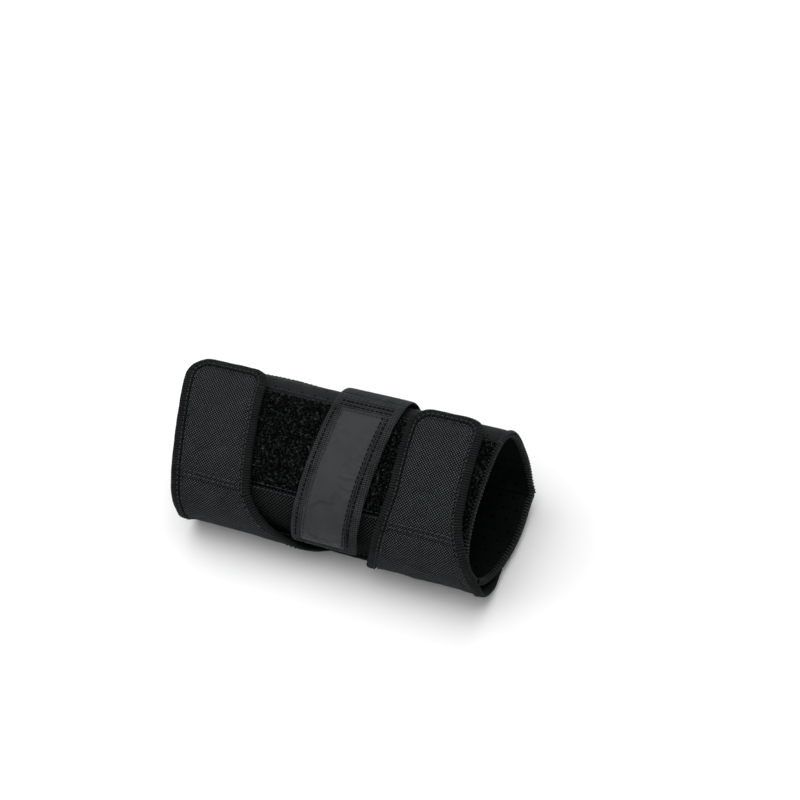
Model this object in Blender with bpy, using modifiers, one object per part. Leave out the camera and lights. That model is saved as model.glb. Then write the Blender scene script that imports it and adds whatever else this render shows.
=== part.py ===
"""Left-hand wrist guard with a palm splint, two closure flaps and an elastic wrist strap.

Frame: +X runs from the finger end to the forearm end, +Y is the thumb side, +Z is the back of the
hand. The palm side rests on Z = 0. Sizes are in millimetres and become metres in place().

Every layer is laid on the sleeve by three coordinates:
  x      along the forearm,
  turn   degrees round the sleeve: 0 back of the hand, 90 thumb side, 180 palm, -90 little finger,
  depth  distance outwards from the sleeve's inner face.
"""
import functools
import math

import bmesh
import bpy
import numpy as np
from mathutils import Vector

MM = 0.001

# Sleeve
HAND_END = -113.6
HAND_SKEW = 8.0              # the hand flap's edge runs this much further on the thumb side
THUMB_CUT = 7.0              # the sleeve itself is cut back by this much beside the thumb
THUMB_CUT_TURNS = (18.0, 46.0, 128.0, 165.0)    # where the cut begins, is full and ends
FOREARM_END = 94.8
FOREARM_REACH = 11.4         # the palm side runs this much further than the back
FOREARM_SKEW = 1.5           # and the thumb side a little further than the little-finger side
HALF_WIDTH = 42.0            # inner half width
HALF_HEIGHT = (28.5, 30.0)   # inner half height at the hand end and at the forearm end
BACK_SQUARENESS = 2.4        # superellipse power of the back half
PALM_SQUARENESS = 3.0        # superellipse power of the palm half
BACK_LEAN = 0.34             # the back is higher on the thumb side, by this slope
PALM_STACK = 9.3             # inner face to the floor: lining, pad, splint and shell
CENTRE_SHIFT = (5.7, 2.4)    # along and sideways, so that the part is centred on the origin
SECTION_POINTS = 721         # a section is read from this many points round it

# Layers: (outer depth, thickness)
LINING = (2.2, 2.2)
BACK_SPLINT = (4.3, 1.8)
LOOP_PANEL = (6.0, 1.4)
LOOP_PANEL_EDGE = 3.9        # outer depth where the panel tapers to its side seams
EDGE_STRIP = (3.7, 1.2)
THUMB_PANEL = (3.0, 3.0)
PALM_PAD = (5.3, 2.8)
PALM_SPLINT = (7.8, 2.2)
PALM_SHELL = (10.1, 1.2)     # the floor flattens its outer face
PALM_SHELL_EDGE = 4.6        # outer depth at its thumb-side seam and at the sleeve's ends
ULNAR_PANEL = (9.0, 1.4)
FLAP = (9.0, 1.4)
BINDING = (9.4, 2.4)
HOOK = (7.3, 1.0)
STRAP_TAB = (9.0, 1.4)
LABEL = (9.8, 0.5)
ELASTIC = (9.0, 1.6)
ANCHOR = (4.7, 1.4)
OVERLOCK = (3.0, 3.2)
BACK_BINDING = (4.2, 0.9)
RIM_DEPTHS = (-0.3, 3.3, 3.9)    # inner face, shoulders and crown of the thumb hole's rim

# Seams round the sleeve, in degrees of turn
BACK_SEAM_THUMB = 37.0
BACK_SEAM_ULNAR = -49.0
LEAF_EDGE = -108.0
PALM_LINING_ULNAR = -111.5
PALM_SEAM_THUMB = 133.5
PALM_SEAM_ULNAR = -151.0
SWING_LINE = -100.0          # root hinge of both closure flaps
PEEL_LINE = -54.0            # cross seam that the tips of the flaps fold at
NOTCH_FLOOR = -125.0
FLAP_TIP = 50.0
STRAP_SWING_LINE = 118.0
STRAP_PEEL_LINE = 42.0
STRAP_TIP = -94.0
SEAM_GAP = 1.8               # left open at a butted seam
BACK_SPLINT_TURNS = (-30.0, 24.0)
PALM_SPLINT_TURNS = (154.0, 204.0)
PANEL_RAMP = 12.0            # the loop panel rises over this many degrees from its seams
SHELL_RAMP = 17.0            # and the palm shell from its thumb-side seam
HOOK_ROOT = -45.0
STRAP_HOOK_ROOT = 34.0
LABEL_ROOT = 31.0
LABEL_TIP = -88.5
LATTICE = 6.0                # all layers share these stations, so their facets nest

# Inner stiffeners, along x
BACK_SPLINT_X = (-70.0, 70.0)
PALM_PAD_X = (-62.0, 70.0)
PALM_SPLINT_X = (-88.0, 84.0)

# Closure flaps and strap, along x
HAND_FLAP_LEAN = 0.118       # millimetres towards the hand for each degree past the swing line
FOREARM_FLAP_LEAN = 0.04
FOREARM_FLAP_END = 91.2
FOREARM_FLAP_FLARE = 13.0    # the forearm flap widens towards its root
FLARE_START = -30.0          # from this turn
FLARE_TURN = 68.0            # over this many degrees
CORNER = 14.0                # corner radius of a flap tip
CORNER_STEPS = 4
STRAP_CORNER = 3.0
STRAP_CENTRE = 3.9
STRAP_WIDTH = 45.0
STRAP_SKEW = 8.5             # shift towards the hand along the strap's way over the back
BINDING_WIDTH = 6.0
GAP = 0.4
OUTER_DEGREE = 0.73          # mean arc length of one degree of turn on the outer layers
INNER_DEGREE = 0.60          # and on the sleeve's inner face
OVERLOCK_WIDTH = 2.3
BACK_END_MARGIN = 4.0        # the loop panel stops short of the sleeve's ends
HOOK_MARGIN = 8.0
LABEL_MARGIN = 7.6           # from the strap's hand-side edge
LABEL_WIDTH = 29.3

# Notch between the two flaps: two quarter superellipses joined by a straight floor
ULNAR_ROWS = 6
NOTCH_POWER = 1.2
NOTCH_HAND = (-4.5, -55.0, 41.5)        # superellipse centre x and turn, and its half length in x
NOTCH_FOREARM = (20.6, -25.0, 21.0)

# Thumb hole
HOLE_CENTRE = (-59.0, 94.0)
HOLE_HALF = (34.0, 20.0)     # millimetres along x, degrees round the sleeve
HOLE_RIM = 3.0
HOLE_STEPS = 36
HOLE_CUTTER_DEPTHS = (-6.0, 9.0)

COLOURS = {
    "neoprene": ((0.012, 0.013, 0.014), 0.75),
    "foam": ((0.05, 0.05, 0.055), 0.9),
    "plastic": ((0.02, 0.02, 0.022), 0.4),
    "loop": ((0.010, 0.010, 0.011), 0.95),
    "ballistic": ((0.030, 0.033, 0.036), 0.7),
    "binding": ((0.014, 0.015, 0.016), 0.6),
    "hook": ((0.02, 0.02, 0.02), 0.5),
    "elastic": ((0.022, 0.024, 0.027), 0.65),
    "label": ((0.045, 0.050, 0.058), 0.35),
    "thread": ((0.03, 0.03, 0.032), 0.6),
}


# ---------------------------------------------------------------- the sleeve's surface

@functools.lru_cache(maxsize=None)
def section(half_height):
    """Turn, y, z and outward normal round one section of the sleeve's inner face."""
    angle = np.linspace(-math.pi, math.pi, SECTION_POINTS)
    cos, sin = np.cos(angle), np.sin(angle)
    power = np.where(cos >= 0, BACK_SQUARENESS, PALM_SQUARENESS)
    radius = (np.abs(cos / half_height) ** power + np.abs(sin / HALF_WIDTH) ** power) ** (-1 / power)
    y, z = radius * sin, radius * cos
    run = np.concatenate([[0.0], np.cumsum(np.hypot(np.diff(y), np.diff(z)))])
    quarters = run[::SECTION_POINTS // 4]
    turn = np.interp(run, quarters, (-180.0, -90.0, 0.0, 90.0, 180.0))
    z = z + BACK_LEAN * y * (0.5 + 0.5 * z / half_height)
    along_y, along_z = np.gradient(y), np.gradient(z)
    length = np.hypot(along_y, along_z)
    return turn, y, z + half_height + PALM_STACK, -along_z / length, along_y / length


def half_height_at(x):
    """Inner half height of the sleeve at x."""
    share = (x - HAND_END) / (FOREARM_END - HAND_END)
    return round(HALF_HEIGHT[0] + (HALF_HEIGHT[1] - HALF_HEIGHT[0]) * share, 3)


def place(x, turn, depth):
    """Point in metres at x, turn and depth; nothing reaches below the floor."""
    turn = (turn + 180.0) % 360.0 - 180.0
    turns, ys, zs, normal_ys, normal_zs = section(half_height_at(x))
    y = np.interp(turn, turns, ys) + depth * np.interp(turn, turns, normal_ys)
    z = np.interp(turn, turns, zs) + depth * np.interp(turn, turns, normal_zs)
    return Vector((x + CENTRE_SHIFT[0], y + CENTRE_SHIFT[1], max(z, 0.0))) * MM


def smooth(value):
    """Ease from 0 to 1, flat at both ends."""
    value = min(1.0, max(0.0, value))
    return value * value * (3 - 2 * value)


def flap_hand_edge(turn):
    """The hand flap's free side runs on a slant along the knuckles."""
    return HAND_END - HAND_SKEW * math.sin(math.radians(turn))


def hand_edge(turn):
    """The sleeve's hand end follows the flap's slant, and is cut back beside the thumb."""
    turn = (turn + 180.0) % 360.0 - 180.0
    start, full, back, end = THUMB_CUT_TURNS
    cut = smooth((turn - start) / (full - start)) * smooth((end - turn) / (end - back))
    return flap_hand_edge(turn) + THUMB_CUT * cut


def forearm_edge(turn):
    """The forearm end is cut on a slant: longest on the palm and thumb sides."""
    angle = math.radians(turn)
    reach = FOREARM_REACH * ((1 - math.cos(angle)) / 2) ** 2
    return FOREARM_END + reach + FOREARM_SKEW * math.sin(angle)


def lattice(start, stop):
    """Turn stations from start to stop: both ends, and the shared lattice between them."""
    low, high = min(start, stop), max(start, stop)
    first = math.ceil((low + 1.5) / LATTICE)
    last = math.floor((high - 1.5) / LATTICE)
    inner = [k * LATTICE for k in range(first, last + 1)]
    return [low, *inner, high]


# ---------------------------------------------------------------- making objects

def start_scene():
    """Empty the scene and make the two collections."""
    for old in list(bpy.data.objects):
        bpy.data.objects.remove(old)
    parts = bpy.data.collections.new("wrist_guard")
    cutters = bpy.data.collections.new("cutters")
    for collection in (parts, cutters):
        bpy.context.scene.collection.children.link(collection)
    return parts, cutters


def material(kind):
    """Principled material of one kind, made once."""
    made = bpy.data.materials.get(kind)
    if made is None:
        made = bpy.data.materials.new(kind)
        made.use_nodes = True
        shader = made.node_tree.nodes["Principled BSDF"]
        colour, roughness = COLOURS[kind]
        shader.inputs["Base Color"].default_value = (*colour, 1.0)
        shader.inputs["Roughness"].default_value = roughness
        shader.inputs["Metallic"].default_value = 0.0
    return made


def add_object(name, mesh, kind, body=None):
    """Object of a mesh given in world coordinates, hung on its body's empty."""
    mesh.materials.append(material(kind))
    made = bpy.data.objects.new(name, mesh)
    bpy.data.collections["wrist_guard"].objects.link(made)
    if body is not None:
        made.parent = body
        made.matrix_parent_inverse = body.matrix_world.inverted()
    return made


def grid_mesh(name, rows, ring=False):
    """Mesh of a grid of points; ring joins its last row to its first."""
    work = bmesh.new()
    verts = [[work.verts.new(point) for point in row] for row in rows]
    pairs = list(zip(verts, verts[1:]))
    if ring:
        pairs.append((verts[-1], verts[0]))
    for near, far in pairs:
        for k in range(len(near) - 1):
            work.faces.new((near[k], near[k + 1], far[k + 1], far[k]))
    return finish_mesh(name, work)


def finish_mesh(name, work):
    """Weld, make the faces agree, and turn the bmesh into a mesh."""
    bmesh.ops.remove_doubles(work, verts=work.verts, dist=0.00001)
    bmesh.ops.recalc_face_normals(work, faces=work.faces)
    mesh = bpy.data.meshes.new(name)
    work.to_mesh(mesh)
    work.free()
    mesh.shade_smooth()
    return mesh


def faces_outwards(mesh):
    """Whether an open sheet's faces look away from the sleeve's axis."""
    axis = Vector((0.0, CENTRE_SHIFT[1], sum(HALF_HEIGHT) / 2 + PALM_STACK)) * MM
    outwards = 0.0
    for polygon in mesh.polygons:
        spoke = polygon.center - axis
        spoke.x = 0.0
        outwards += polygon.area * polygon.normal.dot(spoke.normalized())
    return outwards > 0


def layer(name, rows, thickness, kind, body=None):
    """Sheet given as a grid of points on its outer face, thickened inwards."""
    mesh = grid_mesh(name, rows)
    if not faces_outwards(mesh):
        mesh.flip_normals()
    made = add_object(name, mesh, kind, body)
    solid = made.modifiers.new("Solidify", 'SOLIDIFY')
    solid.thickness = thickness * MM
    solid.offset = -1.0
    return made


def row_between(low, high, turn, depth, columns):
    """Evenly spaced points across x at one turn."""
    return [place(low + (high - low) * k / columns, turn, depth) for k in range(columns + 1)]


def wrap(start, stop, x_low, x_high, depth, columns, end_depth=None):
    """Grid round the sleeve; x_low, x_high and depth may be numbers or functions of turn.

    end_depth brings the first and last columns, at the sleeve's two ends, down to that depth.
    """
    def at(value, turn):
        return value(turn) if callable(value) else value
    rows = []
    for turn in lattice(start, stop):
        low, high, out = at(x_low, turn), at(x_high, turn), at(depth, turn)
        row = row_between(low, high, turn, out, columns)
        if end_depth is not None:
            row[0] = place(low, turn, min(out, end_depth))
            row[-1] = place(high, turn, min(out, end_depth))
        rows.append(row)
    return rows


# ---------------------------------------------------------------- outlines

def hand_edge_in(inset):
    """The hand end, moved in by inset, as a function of turn."""
    return lambda turn: hand_edge(turn) + inset


def forearm_edge_in(inset):
    """The forearm end, moved in by inset, as a function of turn."""
    return lambda turn: forearm_edge(turn) - inset


def notch_fall(centre_turn, grow):
    """Degrees from the centre of a notch ellipse down to the notch's floor."""
    return centre_turn - NOTCH_FLOOR + grow / OUTER_DEGREE


def notch_x(ellipse, side, turn, grow=0.0):
    """Edge of the notch on one side; grow moves it into the fabric, in millimetres."""
    centre_x, centre_turn, half = ellipse
    share = min(1.0, max(0.0, (centre_turn - turn) / notch_fall(centre_turn, grow)))
    return centre_x + side * (half + grow) * (1 - share ** NOTCH_POWER) ** (1 / NOTCH_POWER)


def past_swing_line(turn):
    """Degrees from the flaps' swing line towards their tips, and 0 below it."""
    return max(0.0, turn - SWING_LINE)


def notch_turn(x, grow, top):
    """Turn of the notch's edge at x, or top where the fabric runs up into a flap."""
    turn = NOTCH_FLOOR - grow / OUTER_DEGREE
    for (centre_x, centre_turn, half), side in ((NOTCH_HAND, -1), (NOTCH_FOREARM, 1)):
        across = min(1.0, (x - centre_x) * side / (half + grow))
        if across > 0:
            drop = (1 - across ** NOTCH_POWER) ** (1 / NOTCH_POWER)
            turn = centre_turn - notch_fall(centre_turn, grow) * drop
    return min(turn, top)


def hand_flap_sides(turn, inset=0.0):
    """Both edges of the hand flap in x, moved in by inset; it leans towards the hand."""
    lean = HAND_FLAP_LEAN * past_swing_line(turn)
    return flap_hand_edge(turn) + inset, notch_x(NOTCH_HAND, -1, turn, inset) - lean


def forearm_flap_sides(turn, inset=0.0):
    """Both edges of the forearm flap in x; it leans too, and flares towards its root."""
    lean = FOREARM_FLAP_LEAN * past_swing_line(turn)
    flare = FOREARM_FLAP_FLARE * smooth((FLARE_START - turn) / FLARE_TURN)
    return (notch_x(NOTCH_FOREARM, 1, turn, inset) - lean,
            FOREARM_FLAP_END + flare - lean - inset)


def strap_sides(turn, inset=0.0):
    """Both edges of the strap in x; it runs askew over the back."""
    middle_turn = (STRAP_PEEL_LINE + STRAP_TIP) / 2
    way = (turn - middle_turn) / (STRAP_PEEL_LINE - STRAP_TIP)
    middle = STRAP_CENTRE + STRAP_SKEW * min(0.5, max(-0.5, way))
    half = STRAP_WIDTH / 2 - inset
    return middle - half, middle + half


def label_sides(turn, inset=0.0):
    """Both edges of the label, which sits beside the strap's hand-side edge."""
    low, _ = strap_sides(turn)
    return low + LABEL_MARGIN + inset, low + LABEL_MARGIN + LABEL_WIDTH - inset


def corner_steps():
    """Angles along a quarter circle at a rounded corner, without its first point."""
    return [math.pi / 2 * k / CORNER_STEPS for k in range(1, CORNER_STEPS + 1)]


def tongue(sides, root, tip, corner, inset, depth, columns):
    """Grid of a tongue with rounded corners at its tip, its sides and tip moved in by inset."""
    way = 1 if tip > root else -1
    corner = max(corner - inset, 1.0) / OUTER_DEGREE
    tip -= way * inset / OUTER_DEGREE
    bend = tip - way * corner
    turns = lattice(root, bend)
    rows = []
    for turn in turns if way > 0 else reversed(turns):
        rows.append(row_between(*sides(turn, inset), turn, depth, columns))
    low, high = sides(bend, inset)
    for angle in corner_steps():
        turn = bend + way * corner * math.sin(angle)
        shift = corner * OUTER_DEGREE * (1 - math.cos(angle))
        rows.append(row_between(low + shift, high - shift, turn, depth, columns))
    return rows


def tongue_binding(sides, root, tip, corner, depth):
    """Grid of the binding round a tongue: up one side, across the tip and down the other."""
    bend = tip - corner / OUTER_DEGREE
    low_run, high_run = [], []
    for turn in lattice(root, bend):
        for run, edge, inner in zip((low_run, high_run), sides(turn), sides(turn, BINDING_WIDTH)):
            run.append(((edge, turn), (inner, turn)))
    low, high = sides(bend)
    for run, centre, side in ((low_run, low + corner, -1), (high_run, high - corner, 1)):
        for angle in corner_steps():
            run.append([(centre + side * radius * math.cos(angle),
                         bend + radius / OUTER_DEGREE * math.sin(angle))
                        for radius in (corner, corner - BINDING_WIDTH)])
    return strip_between(low_run + high_run[::-1], depth)


def strip_between(stations, depth):
    """Grid of a strip whose stations are pairs of (x, turn): its outer and inner edge."""
    return [[place(*station[edge], depth) for station in stations] for edge in (0, 1)]


def side_binding(sides, side, start, stop, depth):
    """Grid of the binding along one side of a panel: 0 the hand side, 1 the forearm side."""
    stations = [((sides(turn)[side], turn), (sides(turn, BINDING_WIDTH)[side], turn))
                for turn in lattice(start, stop)]
    return strip_between(stations, depth)


# ---------------------------------------------------------------- sleeve

def loop_panel_depth(turn):
    """The loop panel sinks towards its two side seams."""
    edge = min(BACK_SEAM_THUMB - turn, turn - BACK_SEAM_ULNAR)
    return LOOP_PANEL_EDGE + (LOOP_PANEL[0] - LOOP_PANEL_EDGE) * smooth(edge / PANEL_RAMP)


def palm_shell_depth(turn):
    """The palm shell climbs from its thumb-side seam to the splint."""
    climb = smooth((turn - PALM_SEAM_THUMB) / SHELL_RAMP)
    return PALM_SHELL_EDGE + (PALM_SHELL[0] - PALM_SHELL_EDGE) * climb


def build_back():
    """Lining, splint, loop panel and the leaf's edge on the back of the hand."""
    inset = OVERLOCK_WIDTH + GAP
    rows = wrap(LEAF_EDGE, BACK_SEAM_THUMB, hand_edge_in(inset), forearm_edge_in(inset),
                LINING[0], 8)
    layer("dorsal_lining", rows, LINING[1], "neoprene")
    rows = wrap(*BACK_SPLINT_TURNS, *BACK_SPLINT_X, BACK_SPLINT[0], 6)
    layer("dorsal_splint", rows, BACK_SPLINT[1], "plastic")
    low, high = hand_edge_in(BACK_END_MARGIN), forearm_edge_in(BACK_END_MARGIN)
    rows = wrap(BACK_SEAM_ULNAR, BACK_SEAM_THUMB, low, high, loop_panel_depth, 12,
                LOOP_PANEL_EDGE)
    layer("dorsal_loop_panel", rows, LOOP_PANEL[1], "loop")
    rows = wrap(LEAF_EDGE + SEAM_GAP, BACK_SEAM_ULNAR - SEAM_GAP, low, high, EDGE_STRIP[0], 8)
    layer("dorsal_edge_strip", rows, EDGE_STRIP[1], "ballistic")
    width = BACK_END_MARGIN - GAP
    for name, low, high in (
            ("dorsal_hand_end_binding", hand_edge, hand_edge_in(width)),
            ("dorsal_forearm_end_binding", forearm_edge_in(width), forearm_edge)):
        rows = wrap(BACK_SEAM_ULNAR, BACK_SEAM_THUMB, low, high, BACK_BINDING[0], 1)
        layer(name, rows, BACK_BINDING[1], "binding")


def build_palm():
    """Lining, pad, splint and shell of the palm."""
    inset = OVERLOCK_WIDTH + GAP
    rows = wrap(PALM_SEAM_THUMB + SEAM_GAP, 360 + PALM_LINING_ULNAR, hand_edge_in(inset),
                forearm_edge_in(inset), LINING[0], 8)
    layer("palm_lining", rows, LINING[1], "neoprene")
    rows = wrap(*PALM_SPLINT_TURNS, *PALM_PAD_X, PALM_PAD[0], 6)
    layer("palm_pad", rows, PALM_PAD[1], "foam")
    rows = wrap(*PALM_SPLINT_TURNS, *PALM_SPLINT_X, PALM_SPLINT[0], 6)
    layer("palm_splint", rows, PALM_SPLINT[1], "plastic")
    rows = wrap(PALM_SEAM_THUMB + SEAM_GAP, 360 + PALM_SEAM_ULNAR, hand_edge, forearm_edge,
                palm_shell_depth, 14, PALM_SHELL_EDGE)
    layer("palm_shell", rows, PALM_SHELL[1], "ballistic")


def hole_ring(grow, depth):
    """Oval round the thumb hole, grown by grow millimetres."""
    ring = []
    for k in range(HOLE_STEPS):
        angle = 2 * math.pi * k / HOLE_STEPS
        x = HOLE_CENTRE[0] + (HOLE_HALF[0] + grow) * math.cos(angle)
        turn = HOLE_CENTRE[1] + (HOLE_HALF[1] + grow / INNER_DEGREE) * math.sin(angle)
        ring.append(place(x, turn, depth))
    return ring


def build_thumb_hole_cutter(cutters):
    """Oval plug through the thumb side."""
    inner, outer = HOLE_CUTTER_DEPTHS
    rings = [hole_ring(HOLE_RIM + GAP, depth) for depth in (inner, outer)]
    work = bmesh.new()
    loops = [[work.verts.new(point) for point in ring] for ring in rings]
    for k in range(HOLE_STEPS):
        after = (k + 1) % HOLE_STEPS
        work.faces.new((loops[0][k], loops[0][after], loops[1][after], loops[1][k]))
    for loop in loops:
        work.faces.new(loop)
    cutter = bpy.data.objects.new("thumb_hole_cutter", finish_mesh("thumb_hole_cutter", work))
    cutters.objects.link(cutter)
    cutter.hide_render = True
    cutter.display_type = 'WIRE'
    return cutter


def build_thumb_side(cutters):
    """Neoprene gusset with the thumb hole, and the hole's rolled rim."""
    inset = OVERLOCK_WIDTH + GAP
    rows = wrap(BACK_SEAM_THUMB + SEAM_GAP, PALM_SEAM_THUMB, hand_edge_in(inset),
                forearm_edge_in(inset), THUMB_PANEL[0], 14)
    panel = layer("thumb_panel", rows, THUMB_PANEL[1], "neoprene")
    cut = panel.modifiers.new("Thumb hole", 'BOOLEAN')
    cut.operation = 'DIFFERENCE'
    cut.solver = 'EXACT'
    cut.object = build_thumb_hole_cutter(cutters)

    base, shoulder, crown = RIM_DEPTHS
    section = ((0.0, base), (0.0, shoulder), (HOLE_RIM / 2, crown), (HOLE_RIM, shoulder),
               (HOLE_RIM, base), (0.0, base))
    rings = [hole_ring(grow, depth) for grow, depth in section]
    stations = [[ring[k] for ring in rings] for k in range(HOLE_STEPS)]
    add_object("thumb_hole_rim", grid_mesh("thumb_hole_rim", stations, ring=True), "binding")


def ulnar_columns():
    """x stations of the little-finger side panel, close together round the notch."""
    hand_x, forearm_x = NOTCH_HAND[0], NOTCH_FOREARM[0]
    notch_start, notch_stop = hand_x - NOTCH_HAND[2], forearm_x + NOTCH_FOREARM[2]
    return [*np.linspace(HAND_END, notch_start - 4.0, 5),
            *np.linspace(notch_start, hand_x, 9),
            *np.linspace(hand_x, forearm_x, 5)[1:-1],
            *np.linspace(forearm_x, notch_stop, 7),
            *np.linspace(notch_stop + 5.0, FOREARM_END, 5)]


def build_ulnar_side():
    """Woven panel that both flaps grow from, with its notch and its bindings."""
    top = SWING_LINE - SEAM_GAP / 2
    bottom = PALM_SEAM_ULNAR + SEAM_GAP
    inset = BINDING_WIDTH + GAP
    columns = ulnar_columns()
    rows = []
    for step in range(ULNAR_ROWS + 1):
        row = []
        for x in columns:
            turn = bottom + (notch_turn(x, inset, top) - bottom) * step / ULNAR_ROWS
            if x == columns[0]:
                x = flap_hand_edge(turn) + inset
            if x == columns[-1]:
                x = forearm_flap_sides(turn)[1] - inset
            row.append(place(x, turn, ULNAR_PANEL[0]))
        rows.append(row)
    layer("ulnar_panel", rows, ULNAR_PANEL[1], "ballistic")

    hand_run = [((notch_x(NOTCH_HAND, -1, turn), turn),
                 (notch_x(NOTCH_HAND, -1, turn, BINDING_WIDTH), turn))
                for turn in (top - 0.8, top - 4.0, top - 8.0)]
    forearm_run = [((notch_x(NOTCH_FOREARM, 1, turn), turn),
                    (notch_x(NOTCH_FOREARM, 1, turn, BINDING_WIDTH), turn))
                   for turn in (top - 0.8, top - 4.0, top - 8.0)]
    for run, ellipse, side in ((hand_run, NOTCH_HAND, -1), (forearm_run, NOTCH_FOREARM, 1)):
        for degrees in range(66, 91, 6):
            run.append([notch_point(ellipse, side, degrees, grow)
                        for grow in (0.0, BINDING_WIDTH)])
    rows = strip_between(hand_run + forearm_run[::-1], BINDING[0])
    layer("notch_binding", rows, BINDING[1], "binding")

    for name, sides, end in (("ulnar_hand_end_binding", hand_flap_sides, 0),
                             ("ulnar_forearm_end_binding", forearm_flap_sides, 1)):
        rows = side_binding(sides, end, bottom, top, BINDING[0])
        layer(name, rows, BINDING[1], "binding")


def notch_point(ellipse, side, degrees, grow):
    """(x, turn) on the lower arc of a notch superellipse, degrees down from its side."""
    centre_x, centre_turn, half = ellipse
    across = math.cos(math.radians(degrees)) ** (2 / NOTCH_POWER)
    drop = math.sin(math.radians(degrees)) ** (2 / NOTCH_POWER)
    return (centre_x + side * (half + grow) * across,
            centre_turn - notch_fall(centre_turn, grow) * drop)


def build_overlock():
    """Overlocked edges at both open ends, from the leaf's edge round to the palm."""
    stop = 360 + PALM_LINING_ULNAR
    for name, low, high in (
            ("hand_end_overlock", hand_edge, hand_edge_in(OVERLOCK_WIDTH)),
            ("forearm_end_overlock", forearm_edge_in(OVERLOCK_WIDTH), forearm_edge)):
        rows = wrap(LEAF_EDGE, stop, low, high, OVERLOCK[0], 1)
        layer(name, rows, OVERLOCK[1], "thread")


# ---------------------------------------------------------------- closures

def hinge(name, sides, turn, depth, parent=None):
    """Empty at the middle of a fold line: the origin of the body that folds there."""
    low, high = (place(x, turn, depth) for x in sides(turn))
    made = bpy.data.objects.new(name, None)
    bpy.data.collections["wrist_guard"].objects.link(made)
    made.empty_display_size = 20 * MM
    made.location = (low + high) / 2
    if parent is not None:
        made.parent = parent
        made.matrix_parent_inverse = parent.matrix_world.inverted()
    bpy.context.view_layer.update()
    return made


def build_flap(name, sides):
    """Closure flap from the little-finger side: its root, and the tip that peels off."""
    swing = hinge(name, sides, SWING_LINE, BINDING[0])
    peel = hinge(name + "_peel", sides, PEEL_LINE, BINDING[0], swing)
    root = (SWING_LINE + SEAM_GAP / 2, PEEL_LINE - SEAM_GAP / 2)
    tip_root = PEEL_LINE + SEAM_GAP / 2
    inset = BINDING_WIDTH + GAP
    rows = wrap(*root, lambda turn: sides(turn, inset)[0], lambda turn: sides(turn, inset)[1],
                FLAP[0], 5)
    layer(name + "_root", rows, FLAP[1], "ballistic", swing)
    for side, label in enumerate(("hand_side", "forearm_side")):
        layer(f"{name}_root_binding_{label}", side_binding(sides, side, *root, BINDING[0]),
              BINDING[1], "binding", swing)
    rows = tongue(sides, tip_root, FLAP_TIP, CORNER, inset, FLAP[0], 5)
    layer(name + "_tip", rows, FLAP[1], "ballistic", peel)
    rows = tongue_binding(sides, tip_root, FLAP_TIP, CORNER, BINDING[0])
    layer(name + "_tip_binding", rows, BINDING[1], "binding", peel)
    rows = tongue(sides, HOOK_ROOT, FLAP_TIP, CORNER, HOOK_MARGIN, HOOK[0], 4)
    layer(name + "_hook", rows, HOOK[1], "hook", peel)


def elastic_depth(turn):
    """The elastic climbs from its anchor on the thumb side to lie over the loop panel."""
    share = max(0.0, (STRAP_SWING_LINE - turn) / (STRAP_SWING_LINE - STRAP_PEEL_LINE))
    return ANCHOR[0] + (ELASTIC[0] - ANCHOR[0]) * smooth(share ** 2)


def build_strap():
    """Elastic wrist strap from the thumb side, its tab, hook tape and label."""
    low, high = (lambda turn: strap_sides(turn)[0]), (lambda turn: strap_sides(turn)[1])
    rows = wrap(STRAP_SWING_LINE + SEAM_GAP / 2, PALM_SEAM_THUMB - SEAM_GAP, low, high,
                ANCHOR[0], 3)
    layer("strap_anchor", rows, ANCHOR[1], "elastic")
    swing = hinge("wrist_strap", strap_sides, STRAP_SWING_LINE, ANCHOR[0])
    peel = hinge("wrist_strap_peel", strap_sides, STRAP_PEEL_LINE, LABEL[0], swing)
    rows = wrap(STRAP_PEEL_LINE + SEAM_GAP / 2, STRAP_SWING_LINE - SEAM_GAP / 2, low, high,
                elastic_depth, 3)
    layer("wrist_strap_elastic", rows, ELASTIC[1], "elastic", swing)
    start = STRAP_PEEL_LINE - SEAM_GAP / 2
    rows = tongue(strap_sides, start, STRAP_TIP, STRAP_CORNER, 0.0, STRAP_TAB[0], 5)
    layer("strap_tab", rows, STRAP_TAB[1], "elastic", peel)
    rows = tongue(strap_sides, STRAP_HOOK_ROOT, BACK_SEAM_ULNAR, STRAP_CORNER, HOOK_MARGIN,
                  HOOK[0], 4)
    layer("strap_hook", rows, HOOK[1], "hook", peel)
    rows = tongue(label_sides, LABEL_ROOT, LABEL_TIP, 1.0, 0.0, LABEL[0], 4)
    layer("strap_label", rows, LABEL[1], "label", peel)


def main():
    _, cutters = start_scene()
    build_back()
    build_palm()
    build_thumb_side(cutters)
    build_ulnar_side()
    build_overlock()
    build_flap("hand_flap", hand_flap_sides)
    build_flap("forearm_flap", forearm_flap_sides)
    build_strap()


main()
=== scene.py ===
"""Looks of the left-hand wrist guard: fabrics, bindings, stitches, pile, camera and lights.

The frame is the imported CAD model: +X to the forearm end, +Y the thumb side, +Z the back of the hand.
Each piece is laid on the sleeve by three coordinates, as the CAD layers are:
  x      millimetres along the forearm,
  turn   degrees round the sleeve: 0 back of the hand, 90 thumb side, 180 palm, -90 little finger,
  depth  millimetres outwards from the sleeve's inner face.
"""
import math

import bpy
import numpy as np
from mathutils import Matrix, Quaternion, Vector


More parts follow.
